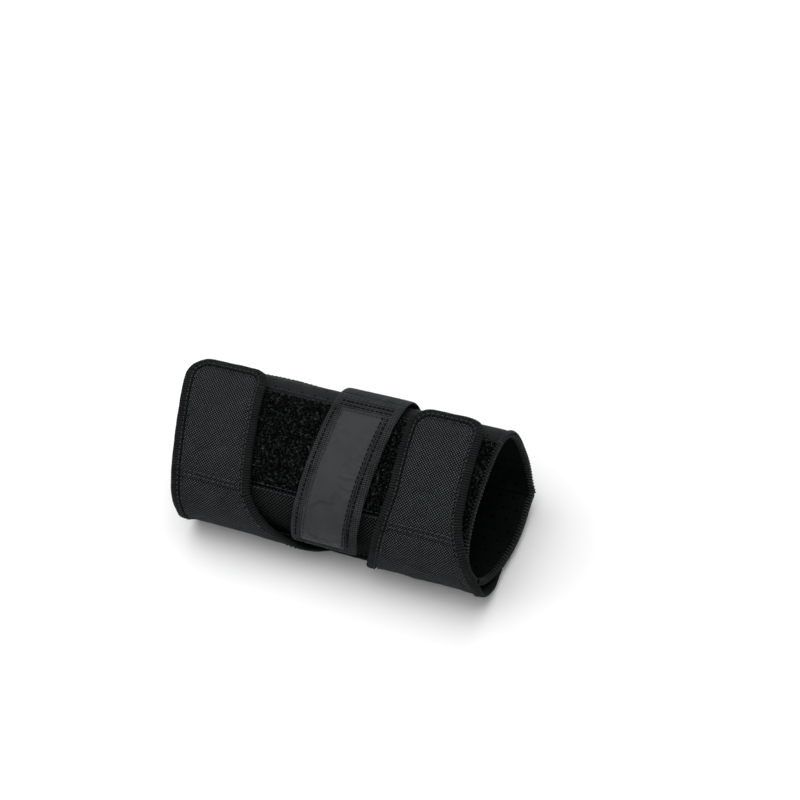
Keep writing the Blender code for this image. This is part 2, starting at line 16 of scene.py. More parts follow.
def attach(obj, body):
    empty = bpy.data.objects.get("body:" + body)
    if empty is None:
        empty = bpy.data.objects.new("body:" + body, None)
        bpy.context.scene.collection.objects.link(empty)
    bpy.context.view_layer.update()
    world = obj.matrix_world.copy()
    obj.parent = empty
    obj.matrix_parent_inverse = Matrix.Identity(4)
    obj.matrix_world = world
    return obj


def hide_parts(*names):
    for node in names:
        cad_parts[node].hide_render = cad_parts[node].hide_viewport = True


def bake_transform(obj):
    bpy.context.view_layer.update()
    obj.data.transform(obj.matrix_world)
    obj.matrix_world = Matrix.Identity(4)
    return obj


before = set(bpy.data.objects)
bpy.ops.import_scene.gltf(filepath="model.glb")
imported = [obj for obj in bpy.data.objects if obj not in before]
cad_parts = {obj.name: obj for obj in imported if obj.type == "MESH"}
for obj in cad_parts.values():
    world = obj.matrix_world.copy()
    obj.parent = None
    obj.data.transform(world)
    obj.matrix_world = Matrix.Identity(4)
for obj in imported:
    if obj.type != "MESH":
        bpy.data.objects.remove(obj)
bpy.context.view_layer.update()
scene = bpy.context.scene

MM = 0.001

# ---- the sleeve, as in the CAD model
HAND_END = -113.6
HAND_SKEW = 8.0
THUMB_CUT = 7.0
THUMB_CUT_TURNS = (18.0, 46.0, 128.0, 165.0)
FOREARM_END = 94.8
FOREARM_REACH = 11.4
FOREARM_SKEW = 1.5
SEAM_PEAK = 3.2              # the forearm end comes to a point at the seam below the thumb
SEAM_PEAK_TURN = 131.0
HALF_WIDTH = 42.0
HALF_HEIGHT = (28.5, 30.0)
BACK_SQUARENESS = 2.4
PALM_SQUARENESS = 3.0
BACK_LEAN = 0.34
PALM_STACK = 9.3
CENTRE_SHIFT = (5.7, 2.4)
SECTION_POINTS = 721
TABLE_STEP = 0.5             # degrees between the tabled stations of a section
TABLE_HALVES = np.linspace(28.0, 30.6, 7)

# ---- seams round the sleeve, in degrees of turn
BACK_SEAM_THUMB = 37.0
BACK_SEAM_ULNAR = -49.0
LEAF_EDGE = -108.0
PALM_LINING_ULNAR = 248.5
PALM_SEAM_THUMB = 133.5
PALM_SEAM_ULNAR = 209.0
SWING_LINE = -100.0
PEEL_LINE = -54.0
SPLIT_LINE = -57.0           # the pieces of a flap meet here, just under its cross seam
FLAP_TIP = 50.0
STRAP_SWING_LINE = 118.0
STRAP_PEEL_LINE = 42.0
STRAP_SPLIT = 46.0
STRAP_TIP = -94.0
PANEL_RAMP = 12.0
SHELL_RAMP = 17.0
HOOK_ROOT = -45.0
STRAP_HOOK_ROOT = 34.0
LABEL_ROOT = 31.0
LABEL_TIP = -85.0

# ---- closure flaps, notch and strap, along x
HAND_FLAP_LEAN = 0.118
FOREARM_FLAP_LEAN = 0.04
FOREARM_FLAP_END = 91.2
FOREARM_FLAP_FLARE = 13.0
FLARE_START = -30.0
FLARE_TURN = 68.0
CORNER = 14.0
STRAP_CORNER = 3.0
STRAP_CENTRE = 3.9
STRAP_WIDTH = 45.0
STRAP_SKEW = 8.5
BINDING_WIDTH = 6.0
OUTER_DEGREE = 0.73
INNER_DEGREE = 0.60
NOTCH_FLOOR = -125.0
NOTCH_POWER = 1.2
NOTCH_HAND = (-4.5, -55.0, 41.5)
NOTCH_FOREARM = (20.6, -25.0, 21.0)
NOTCH_SPLIT_X = 8.0          # the two halves of the little-finger panel meet below the notch
LABEL_MARGIN = 7.6
LABEL_WIDTH = 29.3
HOOK_MARGIN = 8.0

# ---- thumb hole
HOLE_CENTRE = (-59.0, 94.0)
HOLE_HALF = (34.0, 20.0)

# ---- outer faces of the closures, and how far their cloth reaches under the binding
CLOSURE_DEPTH = 9.0
LABEL_DEPTH = 9.6
CLOTH_INSET = BINDING_WIDTH - 1.2

# ---- fabric detail
CLOTH_STEP = 0.9             # spacing of the points of a woven panel
BAND_STEP = 0.36             # and along a ribbed binding
RIB_PITCH = 1.6
RIB_HEIGHT = 0.16
STITCH_PITCH = 3.1
STITCH_LENGTH = 2.4
STITCH_RADIUS = 0.36
OVERLOCK_PITCH = 2.4
PUNCH_PITCH = (9.0, 8.0)     # the neoprene's punched holes
PUNCH_RADIUS = 0.75
LOOPS = 12000
LOOP_HEIGHT = 1.35
SETTLE_FRAMES = 16
SETTLE_CAP = (-0.25, 0.9)    # how far a simulated panel may sink or rise between its seams

# ---- camera and lights
CAMERA_PLACE = Vector((0.5033, -0.6327, 1.1608))
CAMERA_AIM = Vector((0.0155, 0.0592, 0.0457))
CAMERA_ROLL = -15.9
CAMERA_LENS = 99.0


# ======== the sleeve's surface

def section(half_height):
    """Turn, y, z and outward normal round one section of the sleeve's inner face."""
    angle = np.linspace(-math.pi, math.pi, SECTION_POINTS)
    cos, sin = np.cos(angle), np.sin(angle)
    power = np.where(cos >= 0, BACK_SQUARENESS, PALM_SQUARENESS)
    radius = (np.abs(cos / half_height) ** power + np.abs(sin / HALF_WIDTH) ** power) ** (-1 / power)
    y, z = radius * sin, radius * cos
    run = np.concatenate([[0.0], np.cumsum(np.hypot(np.diff(y), np.diff(z)))])
    quarters = run[::SECTION_POINTS // 4]
    turn = np.interp(run, quarters, (-180.0, -90.0, 0.0, 90.0, 180.0))
    z = z + BACK_LEAN * y * (0.5 + 0.5 * z / half_height)
    along_y, along_z = np.gradient(y), np.gradient(z)
    length = np.hypot(along_y, along_z)
    return turn, y, z + half_height + PALM_STACK, -along_z / length, along_y / length


def section_table():
    """y, z and normal at even steps of turn, for several half heights."""
    stations = np.arange(-180.0, 180.0 + TABLE_STEP / 2, TABLE_STEP)
    table = []
    for half_height in TABLE_HALVES:
        turn, *columns = section(half_height)
        table.append([np.interp(stations, turn, column) for column in columns])
    return np.moveaxis(np.array(table), 1, 2)


TABLE = section_table()


def place(x, turn, depth):
    """Points in metres at arrays of x, turn and depth; nothing reaches below the floor."""
    x, turn, depth = np.broadcast_arrays(*(np.asarray(v, float) for v in (x, turn, depth)))
    turn = wrapped(turn)
    share = (x - HAND_END) / (FOREARM_END - HAND_END)
    half = HALF_HEIGHT[0] + (HALF_HEIGHT[1] - HALF_HEIGHT[0]) * share
    row = (half - TABLE_HALVES[0]) / (TABLE_HALVES[1] - TABLE_HALVES[0])
    column = (turn + 180.0) / TABLE_STEP
    i = np.clip(row.astype(int), 0, len(TABLE) - 2)
    j = np.clip(column.astype(int), 0, TABLE.shape[1] - 2)
    a, b = (row - i)[..., None], (column - j)[..., None]
    low = TABLE[i, j] * (1 - b) + TABLE[i, j + 1] * b
    high = TABLE[i + 1, j] * (1 - b) + TABLE[i + 1, j + 1] * b
    y, z, normal_y, normal_z = np.moveaxis(low * (1 - a) + high * a, -1, 0)
    y = y + depth * normal_y + CENTRE_SHIFT[1]
    z = np.maximum(z + depth * normal_z, 0.02)
    return np.stack([x + CENTRE_SHIFT[0], y, z], -1) * MM


def degree_length(x, turn, depth=6.0):
    """Millimetres round the sleeve in one degree of turn."""
    return np.linalg.norm(place(x, turn + 0.5, depth) - place(x, turn - 0.5, depth), axis=-1) / MM


def wrapped(turn):
    """The same turn between -180 and 180."""
    return (turn + 180.0) % 360.0 - 180.0


def smooth(value):
    """Ease from 0 to 1, flat at both ends."""
    value = np.clip(value, 0.0, 1.0)
    return value * value * (3 - 2 * value)


def flap_hand_edge(turn, inset=0.0):
    """The slanted free side of the hand flap, moved in by inset."""
    return HAND_END - HAND_SKEW * np.sin(np.radians(turn)) + inset


def hand_edge(turn, inset=0.0):
    """The sleeve's hand end, cut back beside the thumb, moved in by inset."""
    turn = wrapped(turn)
    start, full, back, end = THUMB_CUT_TURNS
    cut = smooth((turn - start) / (full - start)) * smooth((end - turn) / (end - back))
    return flap_hand_edge(turn, inset) + THUMB_CUT * cut


def forearm_edge(turn, inset=0.0):
    """The slanted forearm end, moved in by inset."""
    angle = np.radians(turn)
    reach = FOREARM_REACH * ((1 - np.cos(angle)) / 2) ** 2
    reach = reach + SEAM_PEAK * np.exp(-np.abs(wrapped(turn) - SEAM_PEAK_TURN) / 8.0)
    return FOREARM_END + reach + FOREARM_SKEW * np.sin(angle) - inset


def notch_x(ellipse, side, turn, grow=0.0):
    """Edge of the notch on one side; grow moves it into the fabric."""
    centre_x, centre_turn, half = ellipse
    fall = centre_turn - NOTCH_FLOOR + grow / OUTER_DEGREE
    share = np.clip((centre_turn - turn) / fall, 0.0, 1.0)
    return centre_x + side * (half + grow) * (1 - share ** NOTCH_POWER) ** (1 / NOTCH_POWER)


def hand_flap_sides(turn, inset=0.0):
    """Both edges of the hand flap in x, moved in by inset."""
    lean = HAND_FLAP_LEAN * np.maximum(0.0, turn - SWING_LINE)
    return flap_hand_edge(turn, inset), notch_x(NOTCH_HAND, -1, turn, inset) - lean


def forearm_flap_sides(turn, inset=0.0):
    """Both edges of the forearm flap in x, moved in by inset."""
    lean = FOREARM_FLAP_LEAN * np.maximum(0.0, turn - SWING_LINE)
    flare = FOREARM_FLAP_FLARE * smooth((FLARE_START - turn) / FLARE_TURN)
    return (notch_x(NOTCH_FOREARM, 1, turn, inset) - lean,
            FOREARM_FLAP_END + flare - lean - inset)


def strap_sides(turn, inset=0.0):
    """Both edges of the strap in x; it runs askew over the back."""
    middle_turn = (STRAP_PEEL_LINE + STRAP_TIP) / 2
    way = (turn - middle_turn) / (STRAP_PEEL_LINE - STRAP_TIP)
    middle = STRAP_CENTRE + STRAP_SKEW * np.clip(way, -0.5, 0.5)
    half = STRAP_WIDTH / 2 - inset
    return middle - half, middle + half


def label_sides(turn, inset=0.0):
    """Both edges of the blank patch on the strap."""
    low, _ = strap_sides(turn)
    return low + LABEL_MARGIN + inset, low + LABEL_MARGIN + LABEL_WIDTH - inset


def loop_panel_depth(x, turn):
    """The loop panel sinks towards its side seams and the sleeve's ends."""
    edge = np.minimum(BACK_SEAM_THUMB - turn, turn - BACK_SEAM_ULNAR)
    ends = np.minimum(x - hand_edge(turn, 4.0), forearm_edge(turn, 4.0) - x)
    return 3.9 + 2.1 * smooth(edge / PANEL_RAMP) * smooth(ends / 12.0)


def palm_shell_depth(x, turn):
    """The palm shell climbs from its thumb-side seam and the sleeve's ends to the splint."""
    ends = np.minimum(x - hand_edge(turn), forearm_edge(turn) - x)
    return 4.6 + 5.5 * smooth((turn - PALM_SEAM_THUMB) / SHELL_RAMP) * smooth(ends / 16.0)


def elastic_depth(turn):
    """The strap climbs from its anchor on the thumb side to lie over the loop panel."""
    share = np.maximum(0.0, (STRAP_SWING_LINE - turn) / (STRAP_SWING_LINE - STRAP_PEEL_LINE))
    return 4.7 + 4.3 * smooth(share ** 2)


def unevenness(x, turn, seed, waves=(64.0, 37.0, 21.0, 13.0)):
    """Smooth waves over the cloth, from about -1 to 1."""
    source = np.random.default_rng(seed)
    total = np.zeros(np.broadcast(x, turn).shape)
    for wave in waves:
        heading, phase = source.uniform(0, 2 * math.pi, 2)
        way = x * math.cos(heading) + turn * OUTER_DEGREE * math.sin(heading)
        total += np.sin(way * 2 * math.pi / wave + phase) * wave
    return total / sum(waves) * 1.6


# ======== meshes

def mesh_object(name, points, faces):
    """New object in the scene from arrays of points and faces."""
    mesh = bpy.data.meshes.new(name)
    mesh.from_pydata(points.tolist(), [], faces.tolist())
    made = bpy.data.objects.new(name, mesh)
    scene.collection.objects.link(made)
    return made


class Shape:
    """A mesh in the making: grids of points, each with its place on the cloth in millimetres."""

    def __init__(self):
        self.points, self.faces, self.cloth, self.count = [], [], [], 0

    def add(self, points, cloth):
        """Add points and return their numbers in the grid's own layout."""
        layout = points.shape[:-1]
        number = self.count + np.arange(int(np.prod(layout))).reshape(layout)
        self.points.append(points.reshape(-1, 3))
        self.cloth.append(np.asarray(cloth, float).reshape(-1, 2))
        self.count += number.size
        return number

    def quads(self, number, flip=False):
        """Faces between the rows and columns of a layout of point numbers."""
        faces = np.stack([number[..., :-1, :-1], number[..., :-1, 1:],
                          number[..., 1:, 1:], number[..., 1:, :-1]], -1).reshape(-1, 4)
        self.faces.append(faces[:, ::-1] if flip else faces)

    def shell(self, outer, inner, cloth, keep=None):
        """Two matching grids closed along their edges; keep marks the cells that are there."""
        a, b = self.add(outer, cloth), self.add(inner, cloth)
        self.quads(a)
        faces = self.faces.pop()
        if keep is not None:
            faces = faces[keep]
        start, end = faces.ravel(), np.roll(faces, -1, axis=1).ravel()
        alone = ~np.isin(start * self.count + end, end * self.count + start)
        start, end, step = start[alone], end[alone], b.flat[0] - a.flat[0]
        self.faces += [faces, faces[:, ::-1] + step,
                       np.stack([end, start, start + step, end + step], -1)]

    def cap(self, points, flip=False):
        """Close the end of a tube of an even number of sides."""
        number = self.add(points, np.zeros(points.shape[:-1] + (2,)))
        half = number.shape[-1] // 2
        pair = np.stack([number[..., :half], number[..., ::-1][..., :half]], -2)
        self.quads(pair, flip)

    def make(self, name, slot, look):
        """Turn it into an object of one material; the slot is not used."""
        corners = np.concatenate(self.faces)
        used, faces = np.unique(corners, return_inverse=True)
        made = mesh_object(name, np.concatenate(self.points)[used], faces.reshape(-1, 4))
        layer = made.data.uv_layers.new(name="cloth")
        layer.data.foreach_set("uv", np.concatenate(self.cloth)[corners.ravel()].ravel())
        made.data.shade_smooth()
        made.data.materials.append(look)
        return made

    def threads(self, name, look=None):
        """Turn it into an object of sewing thread."""
        return self.make(name, "overlock_thread", look or THREAD)


def grid(low, high, turns, step=CLOTH_STEP):
    """x and turn over a patch: rows at the given turns, columns from low to high."""
    columns = max(3, int(np.max(high - low) / step) + 1)
    share = np.linspace(0.0, 1.0, columns)
    return low[:, None] + (high - low)[:, None] * share, np.repeat(turns[:, None], columns, 1)


def turns_between(start, stop, step=CLOTH_STEP):
    """Evenly spaced turns, about step millimetres apart."""
    return np.linspace(start, stop, max(3, int(abs(stop - start) * OUTER_DEGREE / step) + 1))


def open_grid(start, stop, hand_inset=2.7, forearm_inset=2.7, step=CLOTH_STEP):
    """Patch between two turns that runs from one open end of the sleeve to the other."""
    turns = turns_between(start, stop, step)
    return grid(hand_edge(turns, hand_inset), forearm_edge(turns, forearm_inset), turns, step)


def tongue_grid(sides, root, tip, corner, inset, step=CLOTH_STEP):
    """Patch with rounded corners at its tip; root may lie on either side of tip."""
    way = 1 if tip > root else -1
    corner = max(corner - inset, 0.6)
    end = tip - way * inset / OUTER_DEGREE
    bend = end - way * corner / OUTER_DEGREE
    angles = np.linspace(0, math.pi / 2, 9)
    turns = np.concatenate([turns_between(root, bend, step)[:-1],
                            bend + way * corner / OUTER_DEGREE * np.sin(angles)])
    low, high = sides(way * np.minimum(way * turns, way * bend), inset)
    shift = np.zeros(len(turns))
    shift[-9:] = corner * (1 - np.cos(angles))
    low, high = low + shift, high - shift
    if way < 0:
        turns, low, high = turns[::-1], low[::-1], high[::-1]
    return grid(low, high, turns, step)


def run_length(points):
    """Millimetres along the middle column of a grid of points."""
    middle = points[:, points.shape[1] // 2]
    steps = np.linalg.norm(np.diff(middle, axis=0), axis=-1) / MM
    return np.concatenate([[0.0], np.cumsum(steps)])


def edge_distance(x, turn):
    """Millimetres from each point of a patch to its nearest edge."""
    across = np.minimum(x - x[:, :1], x[:, -1:] - x)
    along = np.minimum(turn - turn[:1], turn[-1:] - turn) * OUTER_DEGREE
    return np.minimum(across, along)


def cloth_layer(name, slot, look, x, turn, depth, thickness, rise=0.0, skip=None):
    """Closed sheet of cloth with softly rounded edges; skip leaves out the cells it marks."""
    round_off = 0.42 * thickness * np.exp(-edge_distance(x, turn) / 0.6)
    outer = place(x, turn, depth + rise - round_off)
    inner = place(x, turn, depth + rise - thickness + round_off)
    cloth = np.stack([x, np.broadcast_to(run_length(outer)[:, None], x.shape)], -1)
    shape = Shape()
    shape.shell(outer, inner, cloth, None if skip is None else ~skip(x, turn)[:-1, :-1].ravel())
    made = shape.make(name, slot, look)
    size = np.linalg.norm(np.diff(outer, axis=1), axis=-1).sum(1).max(), run_length(outer)[-1] * MM
    made["cut"] = [float(v) for v in size]
    return made


def declare_sheet(made):
    """Work out a piece's cloth area, at most its cut laid flat; nothing is kept."""
    mesh = made.data
    area = sum(polygon.area for polygon in mesh.polygons) / 2
    width, length = made["cut"]
    area = min(area, width * length)


def resample(x, turn, step, closed=False):
    """The same path in even steps; turn may be one number."""
    x, turn = np.broadcast_arrays(x, turn)
    if closed:
        x, turn = np.append(x, x[0]), np.append(turn, turn[0])
    gaps = np.linalg.norm(np.diff(place(x, turn, 8.0), axis=0), axis=-1) / MM
    run = np.concatenate([[0.0], np.cumsum(gaps)])
    at = np.linspace(0.0, run[-1], max(4, int(run[-1] / step) + 1), endpoint=not closed)
    return np.interp(at, run, x), np.interp(at, run, turn), at


def inwards(x, turn, closed=False):
    """Steps in x and in turn that go one millimetre to the right of a path's way."""
    scale = degree_length(x, turn)
    if closed:
        dx = np.roll(x, -1) - np.roll(x, 1)
        dt = (np.roll(turn, -1) - np.roll(turn, 1)) * scale
    else:
        dx, dt = np.gradient(x), np.gradient(turn) * scale
    length = np.hypot(dx, dt) + 1e-9
    return dt / length, -dx / length / scale


def offset(x, turn, inset, closed=False):
    """A path moved to the right of its way by inset millimetres."""
    step_x, step_turn = inwards(x, turn, closed)
    return x + step_x * inset, turn + step_turn * inset


def band(shape, x, turn, profile, ribs=0.0, closed=False, lift=None):
    """Sweep a closed profile of (inset, depth) along an edge whose cloth is on its right."""
    x, turn, at = resample(x, turn, BAND_STEP, closed)
    step_x, step_turn = inwards(x, turn, closed)
    profile = np.array(profile)
    middle = profile.mean(0)
    push = (profile - middle) / np.linalg.norm(profile - middle, axis=1, keepdims=True)
    rib = ribs * np.abs(np.sin(at * math.pi / RIB_PITCH)) ** 0.6
    wobble = 0.10 * np.sin(at / 4.1) + 0.08 * np.sin(at / 1.9 + 1.0)
    wobble = wobble if lift is None else wobble + lift(x, turn)
    inset = profile[:, 0] + push[:, 0] * rib[:, None]
    depth = profile[:, 1] + push[:, 1] * rib[:, None] + wobble[:, None]
    points = place(x[:, None] + step_x[:, None] * inset, turn[:, None] + step_turn[:, None] * inset,
                   depth)
    round_it = np.concatenate([[0.0], np.cumsum(np.hypot(*np.diff(profile, axis=0).T))])
    cloth = np.stack(np.broadcast_arrays(at[:, None], round_it[None, :]), -1)
    number = shape.add(points, cloth)
    number = np.concatenate([number, number[:, :1]], 1)
    if closed:
        number = np.concatenate([number, number[:1]], 0)
    shape.quads(number)
    if not closed:
        shape.cap(points[0])
        shape.cap(points[-1], flip=True)


def tubes(shape, centres, up, radius, sides=6):
    """Threads: centres is (threads, rings, 3) in metres, up points away from the cloth."""
    along = np.gradient(centres, axis=1)
    along /= np.linalg.norm(along, axis=-1, keepdims=True) + 1e-12
    side = np.cross(along, up)
    side /= np.linalg.norm(side, axis=-1, keepdims=True) + 1e-12
    over = np.cross(side, along)
    angle = np.arange(sides) * 2 * math.pi / sides
    radius = np.broadcast_to(np.asarray(radius) * MM, centres.shape[1:2])[None, :, None, None]
    points = (centres[:, :, None] + radius * (side[:, :, None] * np.cos(angle)[:, None]
                                              + over[:, :, None] * np.sin(angle)[:, None]))
    points[..., 2] = np.maximum(points[..., 2], 0.0)
    run = np.linspace(0, 1, centres.shape[1])[:, None] * STITCH_LENGTH
    cloth = np.stack(np.broadcast_arrays(run, angle[None, :]), -1)
    number = shape.add(points, np.broadcast_to(cloth, points.shape[:-1] + (2,)))
    number = np.concatenate([number, number[..., :1]], -1)
    shape.quads(number)
    if sides % 2 == 0:
        shape.cap(points[:, 0])
        shape.cap(points[:, -1], flip=True)


def up_at(x, turn):
    """Outward direction of the sleeve."""
    away = place(x, turn, 9.0) - place(x, turn, 8.0)
    return away / (np.linalg.norm(away, axis=-1, keepdims=True) + 1e-12)


def stitches(shape, x, turn, depth, pitch=STITCH_PITCH, length=STITCH_LENGTH,
             radius=STITCH_RADIUS, closed=False, seed=1):
    """Row of stitches along a path; depth is a number or a function of x and turn."""
    x, turn, at = resample(x, turn, 0.5, closed)
    source = np.random.default_rng(seed)
    starts = np.arange(pitch * 0.6, at[-1] - pitch * 0.4, pitch)
    starts = starts + source.uniform(-0.12, 0.12, len(starts))
    share = np.linspace(-0.5, 0.5, 6)
    spots = starts[:, None] + share * length
    lift = radius * (1.15 - 2.6 * np.abs(share) ** 2 * 2)
    sx, st = np.interp(spots, at, x), np.interp(spots, at, turn)
    out = depth(sx, st) if callable(depth) else depth
    centres = place(sx, st, out + lift)
    tubes(shape, centres, up_at(sx, st), radius * np.array([0.55, 0.95, 1.05, 1.05, 0.95, 0.55]))


def tongue_edge(sides, root, tip, corner):
    """Path up the low side of a tongue, across its tip and down its high side."""
    bend = tip - corner / OUTER_DEGREE
    turns = turns_between(root, bend)
    low, high = sides(turns)
    angles = np.linspace(0, math.pi / 2, 10)[1:]
    left = low[-1] + corner * (1 - np.cos(angles))
    right = high[-1] - corner * (1 - np.cos(angles))
    rise = bend + corner / OUTER_DEGREE * np.sin(angles)
    x = np.concatenate([low, left, right[::-1], high[::-1]])
    return x, np.concatenate([turns, rise, rise[::-1], turns[::-1]])


def notch_edge(ellipse, side, top):
    """Path along one side of the notch, from its top down to the middle of its floor."""
    turns = top + (NOTCH_FLOOR - top) * (1 - (1 - np.linspace(0, 1, 90)) ** 1.6)
    lean = (HAND_FLAP_LEAN if side < 0 else FOREARM_FLAP_LEAN) * np.maximum(0.0, turns - SWING_LINE)
    x = notch_x(ellipse, side, turns) - lean
    floor = np.linspace(x[-1], NOTCH_SPLIT_X, 12)[1:]
    return np.concatenate([x, floor]), np.concatenate([turns, np.full(11, NOTCH_FLOOR)])


# ======== cloth simulation

def settled(x, turn, depth, pressure, slack=0.012, hold=2.2, seed=0):
    """How far a panel rises between its seams, from a cloth simulation."""
    edge = edge_distance(x, turn)
    start = place(x, turn, depth + 0.12 * unevenness(x, turn, seed))
    shape = Shape()
    shape.quads(shape.add(start, np.stack([x, turn], -1)))
    made = mesh_object("settling", np.concatenate(shape.points), np.concatenate(shape.faces))
    group = made.vertex_groups.new(name="seam")
    group.add([int(k) for k in np.flatnonzero(edge.ravel() < hold)], 1.0, 'REPLACE')
    cloth = made.modifiers.new("Cloth", 'CLOTH')
    for key, value in {"quality": 6, "mass": 0.08, "tension_stiffness": 12,
                       "compression_stiffness": 8, "bending_stiffness": 0.4,
                       "shrink_min": -slack, "use_pressure": True,
                       "uniform_pressure_force": pressure, "vertex_group_mass": "seam"}.items():
        setattr(cloth.settings, key, value)
    cloth.settings.effector_weights.gravity = 0.0
    cloth.collision_settings.use_collision = False
    for number in range(1, SETTLE_FRAMES + 1):
        scene.frame_set(number)
    found = made.evaluated_get(bpy.context.evaluated_depsgraph_get()).data
    moved = np.empty(len(found.vertices) * 3)
    found.vertices.foreach_get("co", moved)
    moved = moved.reshape(start.shape) - place(x, turn, depth)
    scene.frame_set(1)
    bpy.data.objects.remove(made)
    rise = (moved * up_at(x, turn)).sum(-1) / MM
    return np.clip(np.nan_to_num(rise), *SETTLE_CAP) * smooth(edge / 2.0)


def groove(x, turn, at=1.4, width=0.9, deep=0.5):
    """The cloth is drawn down where it goes under its binding and where the seams run."""
    edge = edge_distance(x, turn)
    return -deep * np.exp(-((edge - at) / width) ** 2) - 0.3 * np.exp(-((edge - 3.4) / 0.8) ** 2)


# ======== materials

class Look:
    """A Principled material and a short way to add and join its nodes."""

    def __init__(self, name, colour, roughness, sheen=0.0, specular=0.06):
        self.material = bpy.data.materials.new(name)
        self.material.use_nodes = True
        self.tree = self.material.node_tree
        self.shader = self.tree.nodes["Principled BSDF"]
        for key, value in {"Base Color": (*colour, 1.0), "Roughness": roughness,
                           "Specular IOR Level": specular, "Sheen Weight": sheen,
                           "Sheen Roughness": 0.45}.items():
            self.shader.inputs[key].default_value = value
        self.colour = colour

    def node(self, kind, inputs=(), **settings):
        made = self.tree.nodes.new(kind)
        for key, value in settings.items():
            setattr(made, key, value)
        for key, value in dict(inputs).items():
            self.put(made.inputs[key], value)
        return made

    def put(self, socket, value):
        """Set a socket, or join it to another node's output."""
        if isinstance(value, bpy.types.NodeSocket):
            self.tree.links.new(value, socket)
        else:
            socket.default_value = value

    def math(self, operation, a, b=0.0):
        return self.node("ShaderNodeMath", {0: a, 1: b}, operation=operation).outputs[0]

    def times(self, a, b):
        return self.math("MULTIPLY", a, b)

    def plus(self, a, b):
        return self.math("ADD", a, b)

    def power(self, a, b):
        return self.math("POWER", a, b)

    def sum(self, a, share_a, b, share_b):
        """Weighted sum of two values."""
        return self.plus(self.times(a, share_a), self.times(b, share_b))

    def cloth(self, angle=0.0):
        """The two cloth coordinates in millimetres, turned by angle degrees."""
        uv = self.node("ShaderNodeUVMap", uv_map="cloth").outputs[0]
        if angle:
            uv = self.node("ShaderNodeVectorRotate", {"Vector": uv, "Angle": math.radians(angle)},
                           rotation_type='Z_AXIS').outputs[0]
        parts = self.node("ShaderNodeSeparateXYZ", {0: uv}).outputs
        return parts[0], parts[1]

    def wave(self, coordinate, pitch):
        """Rounded ridges, 0 to 1, one for each pitch."""
        return self.math("ABSOLUTE", self.math("SINE", self.times(coordinate, math.pi / pitch)))

    def noise(self, scale, detail=3.0, rough=0.55):
        """Noise in the object's own space; scale is per metre."""
        place_in = self.node("ShaderNodeTexCoord").outputs["Object"]
        return self.node("ShaderNodeTexNoise", {"Vector": place_in, "Scale": scale,
                         "Detail": detail, "Roughness": rough}).outputs[0]

    def range(self, value, low, high, to_low, to_high):
        return self.node("ShaderNodeMapRange", {0: value, 1: low, 2: high, 3: to_low, 4: to_high}
                         ).outputs[0]

    def shade(self, factor, dark, light):
        """Join the base colour: dark to light times the look's colour, by factor."""
        ramp = self.node("ShaderNodeMix", {0: factor}, data_type='RGBA')
        self.put(ramp.inputs[6], (*(c * dark for c in self.colour), 1.0))
        self.put(ramp.inputs[7], (*(min(c * light, 1.0) for c in self.colour), 1.0))
        self.tree.links.new(ramp.outputs[2], self.shader.inputs["Base Color"])

    def rough(self, factor, low, high):
        self.tree.links.new(self.range(factor, 0.0, 1.0, low, high),
                            self.shader.inputs["Roughness"])

    def bump(self, height, distance, strength=1.0, under=None):
        inputs = {"Height": height, "Distance": distance * MM, "Strength": strength}
        if under is not None:
            inputs["Normal"] = under
        made = self.node("ShaderNodeBump", inputs).outputs[0]
        self.tree.links.new(made, self.shader.inputs["Normal"])
        return made


def ballistic_look(name, cell=1.34, colour=(0.0152, 0.0177, 0.0184), painted_shade_range=None):
    """Coarse basket weave on the bias; its last argument paints shade on it, darkest at the start of
    its length.
    """
    look = Look(name, colour, 0.55)
    u, v = look.cloth(45.0)
    cells = look.plus(look.math("FLOOR", look.math("DIVIDE", u, cell)),
                      look.math("FLOOR", look.math("DIVIDE", v, cell)))
    knuckle = look.power(look.times(look.wave(u, cell), look.wave(v, cell)), 2.8)
    yarns = look.node("ShaderNodeMix", {0: look.math("FLOORED_MODULO", cells, 2.0),
                                        2: look.wave(u, cell / 2),
                                        3: look.wave(v, cell / 2)}).outputs[0]
    weave = look.times(knuckle, look.plus(look.times(yarns, 0.3), 0.7))
    tone = look.times(weave, look.sum(look.noise(45.0), 0.7, look.noise(1100.0, 2.0), 1.3))
    # Painted shade: the tone is darkened towards the start of the cloth's length, where shade falls.
    if painted_shade_range is not None:
        tone = look.times(tone, look.range(look.cloth()[1], *painted_shade_range, 0.05, 1.0))
    look.shade(tone, 0.04, 8.6)
    look.rough(weave, 0.85, 0.5)
    look.bump(weave, 0.6)
    return look.material


def twill_look(name, colour, pitch=0.9):
    """Fine plain weave with a slight diagonal."""
    look = Look(name, colour, 0.7)
    u, v = look.cloth(45.0)
    lines = look.times(look.wave(u, pitch), look.power(look.wave(v, pitch), 0.4))
    look.shade(look.sum(lines, 0.6, look.noise(70.0, 4.0), 0.5), 0.3, 1.6)
    look.rough(lines, 0.8, 0.55)
    look.bump(lines, 0.22)
    return look.material


def binding_look(name, colour):
    """Grosgrain: close ribs across the tape, over the modelled ones."""
    look = Look(name, colour, 0.6)
    u, v = look.cloth()
    rib = look.power(look.wave(u, RIB_PITCH), 1.2)
    look.shade(look.power(look.sum(rib, 0.65, look.noise(120.0), 0.5), 2.2), 0.0, 4.2)
    look.rough(rib, 0.8, 0.6)
    look.bump(look.sum(rib, 0.7, look.wave(v, 0.55), 0.3), 0.35)
    return look.material


